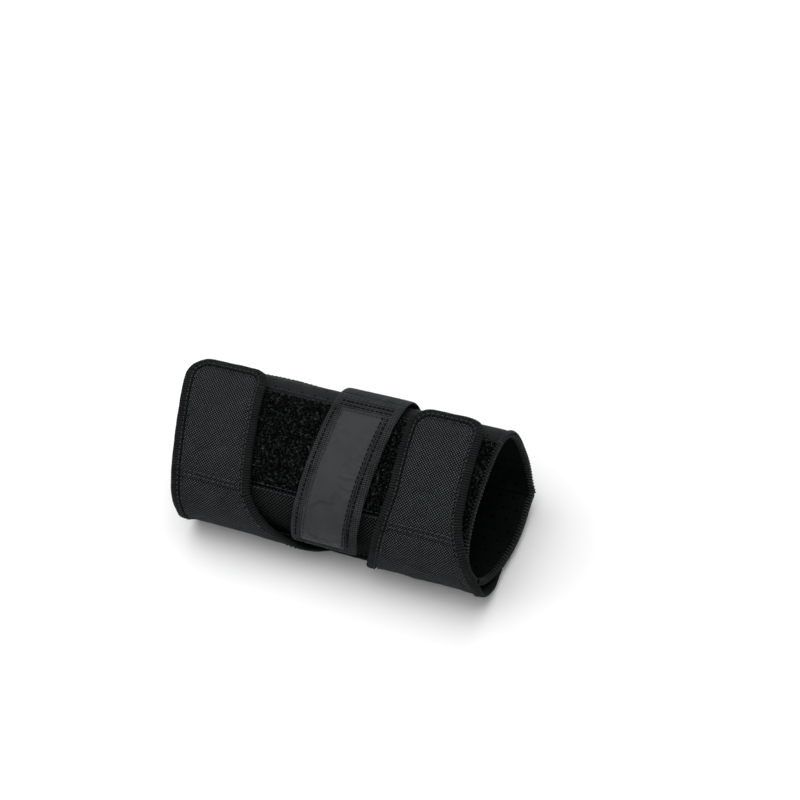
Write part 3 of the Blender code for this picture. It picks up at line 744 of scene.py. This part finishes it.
def pile_look(name, colour):
    """Backing of the loop pile: matted loops with light specks."""
    look = Look(name, colour, 0.9, 0.0, 0.02)
    place_in = look.node("ShaderNodeTexCoord").outputs["Object"]
    cells = look.node("ShaderNodeTexVoronoi", {"Vector": place_in, "Scale": 900.0}).outputs[0]
    tangle = look.noise(1500.0, 4.0, 0.7)
    specks = look.range(tangle, 0.52, 0.72, 0.0, 1.0)
    look.shade(look.sum(specks, 0.8, look.noise(90.0), 0.3), 0.25, 2.6)
    look.bump(look.plus(cells, tangle), 0.6)
    return look.material


def neoprene_look(name, colour, sheen=0.0, specular=0.02):
    """Smooth jersey over foam, with small punched holes in staggered rows."""
    look = Look(name, colour, 0.72, sheen, specular)
    u, v = look.cloth()
    row = look.math("DIVIDE", v, PUNCH_PITCH[1])
    shift = look.times(look.math("PINGPONG", look.math("FLOOR", row), 1.0), 0.5)
    column = look.plus(look.math("DIVIDE", u, PUNCH_PITCH[0]), shift)
    away = [look.times(look.math("SUBTRACT", look.math("FRACT", part), 0.5), pitch)
            for part, pitch in zip((column, row), PUNCH_PITCH)]
    far = look.math("SQRT", look.plus(*(look.times(part, part) for part in away)))
    solid = look.range(far, PUNCH_RADIUS * 0.75, PUNCH_RADIUS * 1.3, 0.0, 1.0)
    knit = look.times(look.wave(u, 0.7), look.wave(v, 0.5))
    look.shade(look.times(solid, look.sum(knit, 0.25, look.noise(60.0, 4.0), 0.95)), 0.06, 1.8)
    look.rough(knit, 0.78, 0.6)
    look.bump(knit, 0.09, under=look.bump(solid, 0.9))
    return look.material


def elastic_look(name, colour):
    """Woven elastic: fine ribs along the strap crossed by weft."""
    look = Look(name, colour, 0.65)
    u, v = look.cloth()
    rib = look.power(look.wave(u, 1.4), 0.35)
    weft = look.wave(look.plus(v, look.times(look.wave(u, 3.0), 0.3)), 1.3)
    height = look.times(look.plus(rib, 0.4), look.plus(weft, 0.6))
    look.shade(look.power(look.sum(height, 0.34, look.noise(75.0, 4.0), 0.4), 3.0), 0.02, 6.6)
    look.rough(weft, 0.8, 0.55)
    look.bump(height, 0.3)
    return look.material


def label_look(name, colour):
    """Plain satin patch with soft creases and very fine threads."""
    look = Look(name, colour, 0.42, 0.0, 0.2)
    threads = look.wave(look.cloth()[1], 0.32)
    crease = look.noise(95.0, 5.0, 0.6)
    look.shade(look.sum(crease, 0.9, threads, 0.15), 0.45, 1.5)
    look.rough(crease, 0.32, 0.52)
    look.bump(threads, 0.05, under=look.bump(crease, 1.1, 0.6))
    return look.material


def thread_look(name, colour, dark=0.6, light=1.4, patches=400.0, power=1.0):
    """Twisted thread, darker and lighter in patches; power makes the light ones rarer."""
    look = Look(name, colour, 0.5)
    u, v = look.cloth()
    twist = look.wave(look.plus(u, look.times(v, 0.16)), 0.4)
    patchy = look.range(look.noise(patches), 0.35, 0.65, 0.0, 1.0)
    look.shade(look.power(look.sum(twist, 0.3, patchy, 0.7), power), dark, light)
    look.bump(twist, 0.12)
    return look.material


def moulded_look(name, colour, roughness, grain=900.0, height=0.05):
    """Moulded plastic or foam with a fine grain."""
    look = Look(name, colour, roughness)
    grainy = look.noise(grain)
    look.shade(look.noise(80.0), 0.75, 1.3)
    look.rough(grainy, roughness - 0.08, roughness + 0.1)
    look.bump(grainy, height)
    return look.material


def floor_look():
    """Plain pale floor with a hardly visible tooth."""
    look = Look("floor", (0.93, 0.93, 0.93), 0.85)
    grain = look.noise(60.0)
    look.shade(grain, 0.995, 1.0)
    look.bump(grain, 0.02)
    return look.material


BALLISTIC = ballistic_look("ballistic_nylon")
# The edge strip is the ballistic nylon in a darker colour, which is painted shade, and its tone is
# painted darker still towards the leaf edge.
EDGE_STRIP_PAINTED_SHADE = ballistic_look("edge_strip_nylon_painted_shade", 1.6, (0.0078, 0.0092, 0.0091), (4.0, 40.0))
TWILL = twill_look("fine_nylon", (0.0075, 0.0082, 0.0088))
BINDING = binding_look("grosgrain_binding", (0.0037, 0.0043, 0.0042))
PILE = pile_look("loop_pile", (0.0018, 0.0018, 0.0020))
LOOPS_LOOK = thread_look("pile_loops", (0.0085, 0.0097, 0.0094), 0.0, 16.0, 560.0, 4.0)
NEOPRENE = neoprene_look("neoprene", (0.0090, 0.0103, 0.0107), 0.02, 0.06)
# The lining cloth is real, but its darker colour than the neoprene is painted shade for the guard's
# inside.
LINING_PAINTED_SHADE = neoprene_look("neoprene_lining_painted_shade", (0.0040, 0.0050, 0.0047))
ELASTIC = elastic_look("woven_elastic", (0.0080, 0.0094, 0.0094))
LABEL = label_look("satin_patch", (0.0215, 0.0248, 0.0262))
THREAD = thread_look("stitch_thread", (0.036, 0.040, 0.042))
DARK_THREAD = thread_look("dark_stitch_thread", (0.0022, 0.0024, 0.0026))
OVERLOCK = thread_look("overlock_roll", (0.0045, 0.005, 0.005))
ZIGZAG = thread_look("overlock_thread", (0.034, 0.039, 0.039))
HOOKS = moulded_look("hook_tape", (0.013, 0.014, 0.015), 0.6)
SPLINT = moulded_look("splint_plastic", (0.02, 0.02, 0.022), 0.4)
FOAM = moulded_look("foam", (0.05, 0.05, 0.055), 0.85, 1600.0, 0.3)


# ======== sleeve

def sleeve_sheet(name, slot, look, nodes, rests_on, x, turn, *layer, with_pieces=()):
    """Sheet that is stretched over the sleeve in place of its CAD nodes, if it has any."""
    made = cloth_layer(name, slot, look, x, turn, *layer)
    if nodes:
        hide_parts(*nodes)
    declare_sheet(made)
    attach(made, "sleeve")


def ride_sleeve(*pieces):
    """Pieces that stay with the sleeve at every pose."""
    for piece in pieces:
        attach(piece, "sleeve")


def build_back():
    """Lining, loop panel, pile, woven edge strip and the bound ends of the back."""
    x, turn = open_grid(LEAF_EDGE, BACK_SEAM_THUMB, step=1.1)
    rise = 0.25 * unevenness(x, turn, 5) * smooth(edge_distance(x, turn) / 6.0)
    # The back lining's dark look is painted shade for the guard's inside.
    sleeve_sheet("back_lining", "neoprene", LINING_PAINTED_SHADE, ["dorsal_lining"], [], x, turn, 2.2, 2.2,
                 np.minimum(rise, 0.0))
    x, turn = open_grid(BACK_SEAM_ULNAR, BACK_SEAM_THUMB, 4.0, 1.9)
    rise = np.minimum(0.12 * unevenness(x, turn, 11), 0.15)
    pile = build_pile()
    sleeve_sheet("loop_panel", "loop_pile", PILE, ["dorsal_loop_panel"], ["back_lining"],
                 x, turn, loop_panel_depth(x, turn), 1.4, rise, with_pieces=[pile])
    # The edge strip's look is painted shade, darkest by the leaf edge.
    x, turn = open_grid(LEAF_EDGE + 1.8, BACK_SEAM_ULNAR - 1.0, 4.0, 4.0)
    sleeve_sheet("edge_strip", "ballistic_nylon", EDGE_STRIP_PAINTED_SHADE, ["dorsal_edge_strip"],
                 ["back_lining"], x, turn, 3.7, 1.2, 0.1 * unevenness(x, turn, 12))

    seams = Shape()
    along = np.linspace(HAND_END + 8, FOREARM_END - 6, 200)
    for turn_at, out in ((BACK_SEAM_ULNAR + 1.5, 4.2), (BACK_SEAM_ULNAR - 2.6, 3.7),
                         (BACK_SEAM_THUMB - 1.5, 4.1), (BACK_SEAM_THUMB + 3.6, 3.0),
                         (LEAF_EDGE + 4.5, 3.7)):
        stitches(seams, along, turn_at, out)
    ride_sleeve(pile, seams.threads("back_seam_stitches"))

    for name, edge, way, width in (("hand_end", hand_edge, 1, 3.6),
                                   ("forearm_end", forearm_edge, -1, 1.6)):
        turns = turns_between(BACK_SEAM_ULNAR, BACK_SEAM_THUMB, 0.5)[::way]
        tape = Shape()
        profile = ((0.0, 3.3), (0.1, 4.1), (0.45 * width, 4.5), (0.9 * width, 4.3), (width, 3.8),
                   (width, 3.4), (0.5 * width, 3.2), (0.1 * width, 3.2))
        band(tape, edge(turns), turns, profile, 0.08)
        made = tape.make(f"back_{name}_tape", "binding", BINDING)
        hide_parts(f"dorsal_{name}_binding")
        ride_sleeve(made)


def covered(x, turn):
    """Where the loop panel lies under a flap or the strap."""
    found = np.zeros(x.shape, bool)
    for sides, low, high in ((hand_flap_sides, -110, FLAP_TIP), (forearm_flap_sides, -110, FLAP_TIP),
                             (strap_sides, STRAP_TIP, 200)):
        left, right = sides(turn, -1.0)
        found |= (x > left) & (x < right) & (turn > low) & (turn < high)
    return found


def build_pile():
    """Small loops of thread all over the loop panel, flattened under the closures."""
    source = np.random.default_rng(7)
    turn = source.uniform(BACK_SEAM_ULNAR + 1.0, BACK_SEAM_THUMB - 1.0, LOOPS)
    low, high = hand_edge(turn, 5.0), forearm_edge(turn, 2.6)
    x = low + (high - low) * source.uniform(0, 1, LOOPS)
    height = LOOP_HEIGHT * source.uniform(0.5, 1.0, LOOPS) * np.where(covered(x, turn), 0.25, 1.0)
    heading = source.uniform(0, 2 * math.pi, LOOPS)
    arch = np.linspace(0, math.pi, 6)
    span = source.uniform(0.4, 0.9, LOOPS)[:, None] * np.cos(arch)
    lean = source.uniform(-0.8, 0.8, LOOPS)[:, None] * np.sin(arch)
    way_x = span * np.cos(heading)[:, None] - lean * np.sin(heading)[:, None]
    way_t = span * np.sin(heading)[:, None] + lean * np.cos(heading)[:, None]
    sx, st = x[:, None] + way_x, turn[:, None] + way_t / OUTER_DEGREE
    out = loop_panel_depth(sx, st) - 0.05 + height[:, None] * np.sin(arch)
    shape = Shape()
    tubes(shape, place(sx, st, out), np.broadcast_to(np.array([0.3, 0.2, 0.93]), sx.shape + (3,)),
          0.15, 3)
    return shape.make("pile_loops", "loop_pile", LOOPS_LOOK)


def build_palm():
    """Lining and woven shell of the palm."""
    x, turn = open_grid(PALM_SEAM_THUMB + 1.8, PALM_LINING_ULNAR, step=1.2)
    # The palm lining's dark look is painted shade for the guard's inside.
    sleeve_sheet("palm_lining_cloth", "neoprene", LINING_PAINTED_SHADE, ["palm_lining"], [], x, turn, 2.2, 2.2)
    x, turn = open_grid(PALM_SEAM_THUMB + 1.0, PALM_SEAM_ULNAR, 0.0, 0.0)
    sleeve_sheet("palm_shell_cloth", "ballistic_nylon", TWILL, ["palm_shell"], ["palm_splint"],
                 x, turn, palm_shell_depth(x, turn), 1.2)
    seams = Shape()
    turns = turns_between(PALM_SEAM_THUMB + 3.0, PALM_SEAM_ULNAR - 3.0)
    for edge in (hand_edge, forearm_edge):
        stitches(seams, edge(turns, 4.5), turns, palm_shell_depth)
    along = np.linspace(HAND_END + 8, FOREARM_END + 4, 200)
    for turn_at in (PALM_SEAM_THUMB + 4.0, 151.0, 207.0):
        stitches(seams, along, turn_at, palm_shell_depth)
    ride_sleeve(seams.threads("palm_seam_stitches"))


def hole_ring(grow, count=180):
    """Oval round the thumb hole; its cloth is on the path's right."""
    angle = np.linspace(0, 2 * math.pi, count, endpoint=False)
    return (HOLE_CENTRE[0] + (HOLE_HALF[0] + grow) * np.cos(angle),
            HOLE_CENTRE[1] + (HOLE_HALF[1] + grow / INNER_DEGREE) * np.sin(angle))


def in_hole(x, turn):
    """Inside the oval, up to the middle of its rim."""
    along = (x - HOLE_CENTRE[0]) / (HOLE_HALF[0] + 1.6)
    round_it = (turn - HOLE_CENTRE[1]) / (HOLE_HALF[1] + 1.6 / INNER_DEGREE)
    return along ** 2 + round_it ** 2 < 1.0


def build_thumb_side():
    """Neoprene gusset with the thumb hole, its turned rim and the stitching round it."""
    x, turn = open_grid(BACK_SEAM_THUMB + 0.05, PALM_SEAM_THUMB + 1.75, step=0.8)
    rise = 0.22 * unevenness(x, turn, 21) * smooth(edge_distance(x, turn) / 8.0)
    sleeve_sheet("thumb_gusset", "neoprene", NEOPRENE, ["thumb_panel"], [], x, turn, 3.0, 2.5,
                 np.clip(rise, -0.3, 0.3), in_hole)
    # A thin lining sheet just inside the gusset; its dark colour is painted shade for the inside of
    # the thumb side.
    sleeve_sheet("thumb_gusset_lining_painted_shade", "neoprene", LINING_PAINTED_SHADE, [], ["thumb_gusset"], x, turn,
                 0.4, 0.4, 0.0, in_hole)
    rim = Shape()
    profile = ((0.0, -0.2), (0.0, 1.4), (0.2, 3.0), (1.0, 3.9), (2.0, 3.9), (2.8, 3.4), (3.0, 2.4),
               (3.0, 0.6), (2.8, -0.2), (1.4, -0.4))
    band(rim, *hole_ring(0.0), profile, 0.05, closed=True)
    rim = rim.make("thumb_hole_edge", "binding", BINDING)
    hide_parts("thumb_hole_rim")
    seams = Shape()
    stitches(seams, *hole_ring(1.5), 3.72, radius=0.2, closed=True)
    stitches(seams, *hole_ring(5.2), 2.9, radius=0.22, closed=True)
    along = np.linspace(HAND_END, FOREARM_END - 2, 200)
    stitches(seams, along, PALM_SEAM_THUMB - 4.0, 3.05)
    ride_sleeve(rim, seams.threads("thumb_side_stitches"))


def build_overlock():
    """Rolled and overlocked edges at both open ends, with their zigzag thread."""
    profile = ((2.4, 3.0), (1.4, 3.3), (0.4, 2.9), (0.0, 2.0), (0.0, 0.9), (0.4, 0.0), (1.4, -0.25),
               (2.4, 0.0))
    for name, edge, way in (("hand_end", hand_edge, 1), ("forearm_end", forearm_edge, -1)):
        turns = turns_between(LEAF_EDGE, PALM_LINING_ULNAR, 0.5)[::way]
        roll, zigzag = Shape(), Shape()
        band(roll, edge(turns), turns, profile)
        x, turn, at = resample(edge(turns), turns, 0.3)
        starts = np.arange(0.6, at[-1] - OVERLOCK_PITCH, OVERLOCK_PITCH)
        wrap = np.array([(2.7, 3.2), (1.5, 3.5), (0.4, 3.1), (-0.1, 2.1), (-0.1, 0.9), (0.3, 0.0),
                         (1.4, -0.4), (2.7, -0.3)])
        spots = starts[:, None] + np.linspace(0.0, OVERLOCK_PITCH / 2, len(wrap))
        sx, st = np.interp(spots, at, x), np.interp(spots, at, turn)
        step_x, step_turn = inwards(x, turn)
        ix, it = np.interp(spots, at, step_x), np.interp(spots, at, step_turn)
        centres = place(sx + ix * wrap[:, 0], st + it * wrap[:, 0], wrap[:, 1])
        tubes(zigzag, centres, up_at(sx, st) + np.array([0.02, 0.03, 0.01]), 0.42, 6)
        made = roll.threads(f"{name}_overlocked_edge", OVERLOCK)
        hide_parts(f"{name}_overlock")
        ride_sleeve(made, zigzag.threads(f"{name}_zigzag_thread", ZIGZAG))


# ======== closures

BIND_PROFILE = ((0.0, 8.2), (0.15, 9.0), (1.0, 9.75), (2.8, 10.0), (4.8, 9.8), (5.7, 9.4), (6.0, 9.0),
                (6.0, 7.4), (4.5, 7.0), (1.6, 7.0), (0.5, 7.2), (0.1, 7.6))


def bind(tape, seams, x, turn, lift=None):
    """Binding along an edge, with its stitch line and a second one just inside it."""
    band(tape, x, turn, BIND_PROFILE, RIB_HEIGHT, lift=lift)
    path = resample(x, turn, 0.6)[:2]
    for inset, out in ((5.1, 9.71), (7.3, 8.8)):
        stitches(seams, *offset(*path, inset), lambda sx, st: out + root_sink(sx, st), 3.1, 2.1, 0.37)


def root_sink(x, turn):
    """The little-finger panel sinks at its corners, where it is sewn to the palm shell."""
    ends = np.minimum(x - flap_hand_edge(turn), FOREARM_FLAP_END + FOREARM_FLAP_FLARE - x)
    return -4.2 * smooth((-132.0 - turn) / 16.0) * (1 - smooth(ends / 16.0))


def build_flap_root(name, sides, ellipse, side):
    """Half of the little-finger panel, running up into a flap to its cross seam."""
    bottom = PALM_SEAM_ULNAR - 360.0 + 1.8
    turns = turns_between(bottom, SPLIT_LINE)
    low, high = sides(turns, CLOTH_INSET)
    cut = np.full(len(turns), NOTCH_SPLIT_X)
    floor = NOTCH_FLOOR - CLOTH_INSET / OUTER_DEGREE
    open_turn = turns > floor
    if side < 0:
        high = np.where(open_turn, high, cut)
    else:
        low = np.where(open_turn, low, cut)
    x, turn = grid(low, high, turns)
    rise = settled(x, turn, CLOSURE_DEPTH, 2.5, seed=31 + side)
    panel = cloth_layer(f"{name}_root_cloth", "ballistic_nylon", BALLISTIC, x, turn,
                        CLOSURE_DEPTH, 1.4, rise + groove(x, turn) + root_sink(x, turn))
    tape, seams = Shape(), Shape()
    turns = turns_between(bottom, SPLIT_LINE, 0.5)
    outer = sides(turns)[0 if side < 0 else 1]
    bind(tape, seams, outer[::-side], turns[::-side], root_sink)
    notch = notch_edge(ellipse, side, SPLIT_LINE)
    bind(tape, seams, *(line[::-side] for line in notch))
    row = np.linspace(low[0] + 2, high[0] - 2, 150)
    stitches(seams, row, bottom + 3.0, CLOSURE_DEPTH)
    tape = tape.make(f"{name}_root_binding_tape", "binding", BINDING)
    seams = seams.threads(f"{name}_root_stitches")
    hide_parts(f"{name}_root", *(["ulnar_panel"] if side < 0 else []))
    ends = "hand" if side < 0 else "forearm"
    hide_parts(f"{name}_root_binding_hand_side", f"{name}_root_binding_forearm_side",
                f"ulnar_{ends}_end_binding", *(["notch_binding"] if side < 0 else []))
    declare_sheet(panel)
    for piece in (panel, tape, seams):
        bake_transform(piece)


def build_flap_tip(name, sides):
    """The part of a flap that peels off: its cloth, binding, stitches and hook tape."""
    x, turn = tongue_grid(sides, SPLIT_LINE, FLAP_TIP, CORNER, CLOTH_INSET)
    rise = settled(x, turn, CLOSURE_DEPTH, 2.5, seed=41 + len(name))
    cross = np.exp(-((turn - PEEL_LINE) / 2.2) ** 2)
    panel = cloth_layer(f"{name}_tip_cloth", "ballistic_nylon", BALLISTIC, x, turn,
                        CLOSURE_DEPTH, 1.4, rise * (1 - cross) - 0.3 * cross + groove(x, turn))
    tape, seams = Shape(), Shape()
    bind(tape, seams, *tongue_edge(sides, SPLIT_LINE, FLAP_TIP, CORNER))
    row = np.linspace(*sides(PEEL_LINE, 8.0), 120)
    for turn_at, seed in ((PEEL_LINE, 3), (PEEL_LINE + 3.4, 4)):
        stitches(seams, row, turn_at + 0.3 * np.sin(row / 9.0), 8.8, 3.4, 2.5, 0.45, seed=seed)
    tape = tape.make(f"{name}_tip_binding_tape", "binding", BINDING)
    seams = seams.threads(f"{name}_tip_stitches")
    hooks = build_hooks(f"{name}_hooks", sides, HOOK_ROOT, FLAP_TIP, CORNER)
    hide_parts(f"{name}_tip")
    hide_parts(f"{name}_tip_binding")
    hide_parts(f"{name}_hook")
    declare_sheet(panel)
    for piece in (panel, tape, seams, hooks):
        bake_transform(piece)


def build_hooks(name, sides, root, tip, corner):
    """Hook tape: a thin base with rows of small curved hooks under it."""
    x, turn = tongue_grid(sides, root, tip, corner, HOOK_MARGIN, 1.5)
    outer = place(x, turn, 7.3)
    shape = Shape()
    cloth = np.stack([x, np.broadcast_to(run_length(outer)[:, None], x.shape)], -1)
    shape.shell(outer, place(x, turn, 6.75), cloth)
    sx, st = x[1:-1, 1:-1].reshape(-1, 1), turn[1:-1, 1:-1].reshape(-1, 1)
    curve = np.array([(0.0, 6.8), (0.0, 6.5), (0.25, 6.32), (0.5, 6.42)])
    centres = place(sx + curve[:, 0], st, curve[:, 1])
    tubes(shape, centres, np.broadcast_to(np.array([0.1, 0.9, 0.3]), centres.shape), 0.11, 4)
    return shape.make(name, "hook_tape", HOOKS)


def build_strap():
    """The elastic, its tab, blank patch, hook tape and stitching."""

    turns = turns_between(STRAP_SPLIT, PALM_SEAM_THUMB - 1.8)
    x, turn = grid(*strap_sides(turns), turns)
    depth = np.where(turn > STRAP_SWING_LINE, 4.7, elastic_depth(turn))
    elastic = cloth_layer("strap_elastic", "elastic", ELASTIC, x, turn, depth, 1.5,
                          0.15 * unevenness(x, turn, 51))
    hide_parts("wrist_strap_elastic", "strap_anchor")
    seams = Shape()
    row = np.linspace(*strap_sides(128.0, 2.0), 90)
    for turn_at in (130.0, 124.0):
        stitches(seams, row, turn_at, 4.75)
    seams = seams.threads("strap_anchor_stitches")
    declare_sheet(elastic)
    for piece in (elastic, seams):
        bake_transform(piece)

    x, turn = tongue_grid(strap_sides, STRAP_SPLIT, STRAP_TIP, STRAP_CORNER, 0.0)
    fold = 0.8 * np.exp(-((x[:, -1:] - x - 3.6) / 1.0) ** 2)
    rise = 0.15 * unevenness(x, turn, 52) + fold * smooth(edge_distance(x, turn) / 4.0)
    tab = cloth_layer("strap_tab_webbing", "elastic", ELASTIC, x, turn, CLOSURE_DEPTH, 1.4, rise)
    x, turn = tongue_grid(label_sides, LABEL_ROOT, LABEL_TIP, 1.0, 0.0, 0.7)
    rise = np.clip(settled(x, turn, LABEL_DEPTH, 1.6, 0.02, 1.4, 61), -0.1, 0.6)
    patch = cloth_layer("blank_patch", "label", LABEL, x, turn, LABEL_DEPTH, 0.5,
                        rise * smooth(edge_distance(x, turn) / 3.0))
    seams, patch_seams = Shape(), Shape()
    down = turns_between(LABEL_ROOT, LABEL_TIP, 0.6)
    (low, high), (patch_low, patch_high) = strap_sides(down), label_sides(down)
    for shape, line, out, radius in ((patch_seams, patch_low + 1.0, LABEL_DEPTH, 0.34),
                                     (seams, patch_high - 1.0, LABEL_DEPTH, 0.4),
                                     (seams, low + 3.6, CLOSURE_DEPTH, 0.42),
                                     (seams, high - 6.0, CLOSURE_DEPTH, 0.45)):
        stitches(shape, line, down, out, 3.0, 2.2, radius)
    for turn_at, inset, out, shape in ((LABEL_ROOT - 1.6, 9.0, LABEL_DEPTH, patch_seams),
                                       (LABEL_ROOT + 3.2, 4.0, CLOSURE_DEPTH, seams),
                                       (38.0, 4.0, CLOSURE_DEPTH, seams),
                                       (41.2, 3.0, CLOSURE_DEPTH, patch_seams),
                                       (STRAP_TIP + 5.6, 2.5, CLOSURE_DEPTH, patch_seams)):
        row = np.linspace(*strap_sides(turn_at, inset), 90)
        stitches(shape, row, turn_at, out, 3.0, 2.3, 0.4)
    seams = seams.threads("strap_tab_stitches", DARK_THREAD)
    patch_seams = patch_seams.threads("patch_stitches")
    hooks = build_hooks("strap_hooks", strap_sides, STRAP_HOOK_ROOT, BACK_SEAM_ULNAR, STRAP_CORNER)
    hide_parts("strap_tab")
    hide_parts("strap_label")
    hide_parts("strap_hook")
    declare_sheet(patch)
    declare_sheet(tab)
    for piece in (tab, patch, seams, patch_seams, hooks):
        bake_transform(piece)


def finish_inner_pieces():
    """Better finishes for the stiffeners that stay as the CAD model has them."""
    for node, look in (("dorsal_splint", SPLINT), ("palm_splint", SPLINT), ("palm_pad", FOAM)):
        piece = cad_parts[node]
        piece.data.materials.clear()
        piece.data.materials.append(look)


# ======== floor, lights and camera

def build_floor():
    """Pale floor that runs out into the white surround."""
    shape = Shape()
    spread = np.linspace(-1.6, 1.6, 25)
    x, y = np.meshgrid(spread, spread)
    shape.quads(shape.add(np.stack([x, y, 0 * x], -1), np.stack([x, y], -1)))
    floor = mesh_object("floor", np.concatenate(shape.points), np.concatenate(shape.faces))
    floor.data.materials.append(floor_look())


def aimed(name, data, place_at, aim):
    """New light or camera in the scene, turned towards a point."""
    made = bpy.data.objects.new(name, data)
    scene.collection.objects.link(made)
    made.location = place_at
    made.rotation_mode = 'QUATERNION'
    made.rotation_quaternion = (aim - place_at).to_track_quat('-Z', 'Y')
    return made


def area_light(name, place_at, size, power):
    """Soft rectangular light aimed at the guard."""
    data = bpy.data.lights.new(name, 'AREA')
    data.shape = 'RECTANGLE'
    data.size, data.size_y = size
    data.energy = power
    aimed(name, data, Vector(place_at), Vector((0.0, 0.0, 0.04)))


def build_lights():
    """Soft overhead light, side lights and a surround that is white near the horizon."""
    area_light("overhead", (-0.25, 0.35, 1.8), (2.6, 2.4), 52.0)
    area_light("side", (-1.6, -0.9, 1.0), (1.0, 1.0), 8.0)
    area_light("forearm_side", (1.5, -0.9, 0.7), (0.8, 0.8), 3.0)
    world = bpy.data.worlds.new("surround")
    scene.world = world
    world.use_nodes = True
    tree = world.node_tree
    background = tree.nodes["Background"]
    background.inputs["Color"].default_value = (1.0, 1.0, 1.0, 1.0)
    height = tree.nodes.new("ShaderNodeSeparateXYZ")
    tree.links.new(tree.nodes.new("ShaderNodeTexCoord").outputs["Generated"], height.inputs[0])
    fall = tree.nodes.new("ShaderNodeMapRange")
    tree.links.new(height.outputs["Z"], fall.inputs["Value"])
    for name, value in (("From Min", 0.08), ("From Max", 0.35), ("To Min", 1.0), ("To Max", 0.16)):
        fall.inputs[name].default_value = value
    tree.links.new(fall.outputs[0], background.inputs["Strength"])
    scene.view_settings.view_transform = 'Standard'


def build_camera():
    """Camera above the forearm end on the little-finger side, tilted a little."""
    data = bpy.data.cameras.new("camera")
    data.lens = CAMERA_LENS
    data.sensor_width = 36.0
    camera = aimed("camera", data, CAMERA_PLACE, CAMERA_AIM)
    camera.rotation_quaternion @= Quaternion((0.0, 0.0, 1.0), math.radians(CAMERA_ROLL))
    scene.camera = camera


def main():
    build_camera()
    build_back()
    build_palm()
    build_thumb_side()
    build_overlock()
    build_flap_root("hand_flap", hand_flap_sides, NOTCH_HAND, -1)
    build_flap_root("forearm_flap", forearm_flap_sides, NOTCH_FOREARM, 1)
    build_flap_tip("hand_flap", hand_flap_sides)
    build_flap_tip("forearm_flap", forearm_flap_sides)
    build_strap()
    finish_inner_pieces()
    build_floor()
    build_lights()


main()
